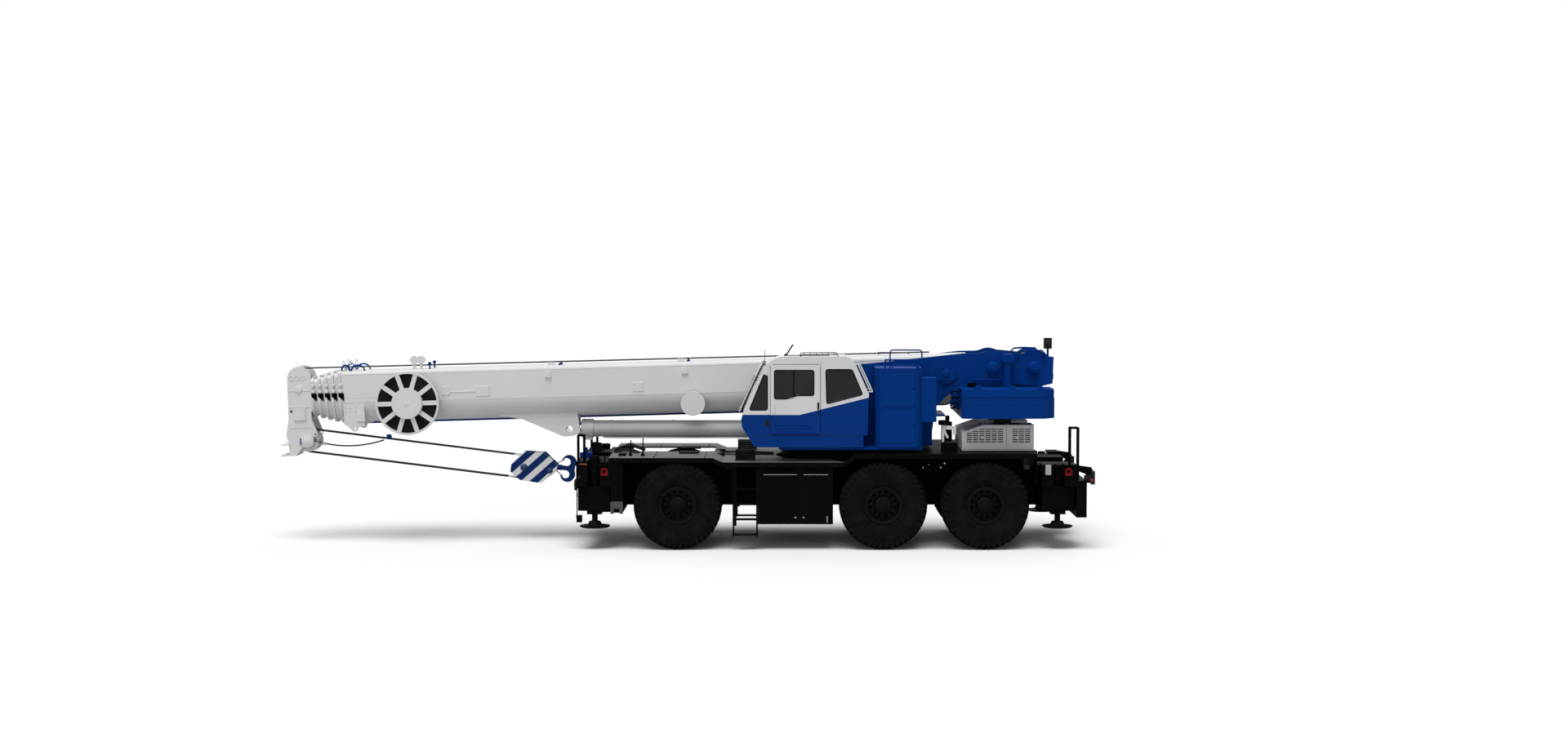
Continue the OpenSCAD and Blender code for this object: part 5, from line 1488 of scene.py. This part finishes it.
def jack_cap(end, side):
    """Cap with its screws and the wear ring of one jack."""
    s = Surface()
    x, r, top = JACKS[end]
    y = side * JACK_Y
    s.lathe([(r + 0.006, -0.05), (r + 0.006, 0.0), (r * 0.8, 0.012), (0.0, 0.012)], (x, y, top), (0, 0, 1),
            28)
    s.lathe([(r, -0.32), (r + 0.008, -0.31), (r + 0.008, -0.27), (r, -0.26)], (x, y, top), (0, 0, 1), 28)
    screws = [(x + r * 0.7 * math.cos(a), y + r * 0.7 * math.sin(a),
               top + 0.008) for a in np.arange(6) * 1.0472]
    s.studs(screws, (0, 0, 1), 0.01, 0.01)
    return s


class CRANE_OT_carrier(bpy.types.Operator):
    """Make the carrier's trim: doors, vents, hood panels, deck fittings, hoses, lamps and running gear"""
    bl_idname = "crane.carrier"
    bl_label = "Carrier trim"

    def execute(self, context):
        dress((("cabinet_doors", cabinet_doors(), "carrier", "black", "carrier_black", 0.003),
               ("corner_plates", corner_plates(), "carrier", "iron", "carrier_black", 0.003),
               ("cabinet_vents", cabinet_dark(), "carrier", "dark", "carrier_black"),
               ("bright_trim", silver_bits(), "carrier", "steel", "bare_steel"),
               ("hood_panels", hood_trim(), "carrier", "plastic", "carrier_black"),
               # Near-black screens behind the hood's slots: painted shade
               ("hood_screens", hood_screens(), "carrier", "dark", "carrier_black"),
               ("hood_latches", hood_silver(), "carrier", "hood", "hood_grey"),
               ("deck_fittings", deck_fittings(), "carrier", "black", "carrier_black"),
               ("deck_hoses", deck_hoses(), "carrier", "hose", "tyre_rubber"),
               ("front_boxes", front_blue(), "carrier", "blue", "upper_blue", 0.004),
               ("side_lenses", lenses(), "carrier", "amber", "lamp_housing"),
               ("head_lenses", clear_lenses(), "carrier", "lens", "lamp_housing"),
               ("tail_lenses", red_lenses(), "carrier", "red_lens", "lug_red"),
               ("running_gear", underside(), "carrier", "gear", "carrier_black"),
               ("bumper_fittings", bumpers(), "carrier", "black", "carrier_black")))
        for end, a in ((0, "f"), (1, "r")):
            for side, b in ((-1, "l"), (1, "r")):
                piece("jack_cap_" + a + b, jack_cap(end, side), "beam_" + a + b, MATERIALS["gear"],
                      "carrier_black")
        return {"FINISHED"}


# Stage


class CRANE_OT_stage(bpy.types.Operator):
    """Make the camera, the floor, the lamps and the world"""
    bl_idname = "crane.stage"
    bl_label = "Stage"

    def execute(self, context):
        scene = context.scene
        camera = bpy.data.objects.new("camera", bpy.data.cameras.new("camera"))
        scene.collection.objects.link(camera)
        camera.location = (2.037, -44.26, 5.94)
        camera.rotation_euler = (math.radians(90 - 3.07), 0, 0)
        camera.data.lens, camera.data.sensor_width = 50, 36
        camera.data.clip_start, camera.data.clip_end = 0.5, 400
        scene.camera = camera
        scene.view_settings.view_transform = "Standard"

        size = 160.0
        mesh = bpy.data.meshes.new("floor")
        mesh.from_pydata([(-size, -size, 0), (size, -size, 0), (size, size, 0), (-size, size, 0)], [],
                         [[0, 1, 2, 3]])
        floor = bpy.data.objects.new("floor", mesh)
        scene.collection.objects.link(floor)
        n = Nodes("pale floor")
        seen = n.tree.nodes.new("ShaderNodeLightPath").outputs["Is Camera Ray"]
        n.link(n.blend(seen, (0.45, 0.45, 0.45), (0.87, 0.87, 0.87)), n.shader.inputs["Base Color"])
        n.set(Roughness=1.0, Specular_IOR_Level=0.0)
        mesh.materials.append(n.material)

        world = bpy.data.worlds.new("studio")
        scene.world = world
        world.use_nodes = True
        tree = world.node_tree
        tree.nodes.clear()
        out = tree.nodes.new("ShaderNodeOutputWorld")
        rays = tree.nodes.new("ShaderNodeLightPath")
        sky, white = tree.nodes.new("ShaderNodeBackground"), tree.nodes.new("ShaderNodeBackground")
        sky.inputs[0].default_value, sky.inputs[1].default_value = (1.0, 1.0, 1.0, 1), 0.27
        white.inputs[0].default_value, white.inputs[1].default_value = (1, 1, 1, 1), 1.0
        seen = tree.nodes.new("ShaderNodeMath")
        seen.operation = "MAXIMUM"
        tree.links.new(rays.outputs["Is Camera Ray"], seen.inputs[0])
        tree.links.new(rays.outputs["Is Transmission Ray"], seen.inputs[1])
        mirrored = tree.nodes.new("ShaderNodeMath")
        mirrored.operation = "MAXIMUM"
        tree.links.new(seen.outputs[0], mirrored.inputs[0])
        tree.links.new(rays.outputs["Is Glossy Ray"], mirrored.inputs[1])
        mix = tree.nodes.new("ShaderNodeMixShader")
        tree.links.new(mirrored.outputs[0], mix.inputs[0])
        tree.links.new(sky.outputs[0], mix.inputs[1])
        tree.links.new(white.outputs[0], mix.inputs[2])
        tree.links.new(mix.outputs[0], out.inputs[0])

        # Wide soft suns: direction they shine from, as turn from -Y towards -X and height in degrees
        for name, turn, height, strength, spread in (("key sun", 14, 70, 2.6, 44),
                                                     ("low sun", 10, 12, 0.62, 40),
                                                     ("rim sun", 200, 50, 0.35, 60)):
            data = bpy.data.lights.new(name, "SUN")
            data.energy, data.angle = strength, math.radians(spread)
            lamp = bpy.data.objects.new(name, data)
            scene.collection.objects.link(lamp)
            a, b = math.radians(turn), math.radians(height)
            towards = Vector((-math.sin(a) * math.cos(b), -math.cos(a) * math.cos(b), math.sin(b)))
            lamp.rotation_euler = towards.to_track_quat("Z", "Y").to_euler()
        return {"FINISHED"}


class CRANE_PT_panel(bpy.types.Panel):
    """Lists the crane's settings and steps"""
    bl_idname = "CRANE_PT_panel"
    bl_label = "Crane"
    bl_space_type = "VIEW_3D"
    bl_region_type = "UI"
    bl_category = "Crane"

    def draw(self, context):
        for group in (context.scene.crane_sizes, context.scene.crane_colours):
            for name in group.__annotations__:
                self.layout.prop(group, name)
        for step in STEPS:
            self.layout.operator(step.bl_idname)


STEPS = (CRANE_OT_stage, CRANE_OT_finishes, CRANE_OT_wheels, CRANE_OT_boom, CRANE_OT_cab, CRANE_OT_upper,
         CRANE_OT_carrier)
CLASSES = (CraneSizes, CraneColours, *STEPS, CRANE_PT_panel)


def register():
    """Registers the classes and hangs the settings on the scene."""
    for cls in CLASSES:
        bpy.utils.register_class(cls)
    bpy.types.Scene.crane_sizes = bpy.props.PointerProperty(type=CraneSizes)
    bpy.types.Scene.crane_colours = bpy.props.PointerProperty(type=CraneColours)


def unregister():
    """Takes both away again, in reverse order."""
    del bpy.types.Scene.crane_colours
    del bpy.types.Scene.crane_sizes
    for cls in reversed(CLASSES):
        bpy.utils.unregister_class(cls)


def main():
    """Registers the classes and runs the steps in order."""
    register()
    for step in STEPS:
        group, name = step.bl_idname.split(".")
        getattr(getattr(bpy.ops, group), name)()


if __name__ == "__main__":
    main()
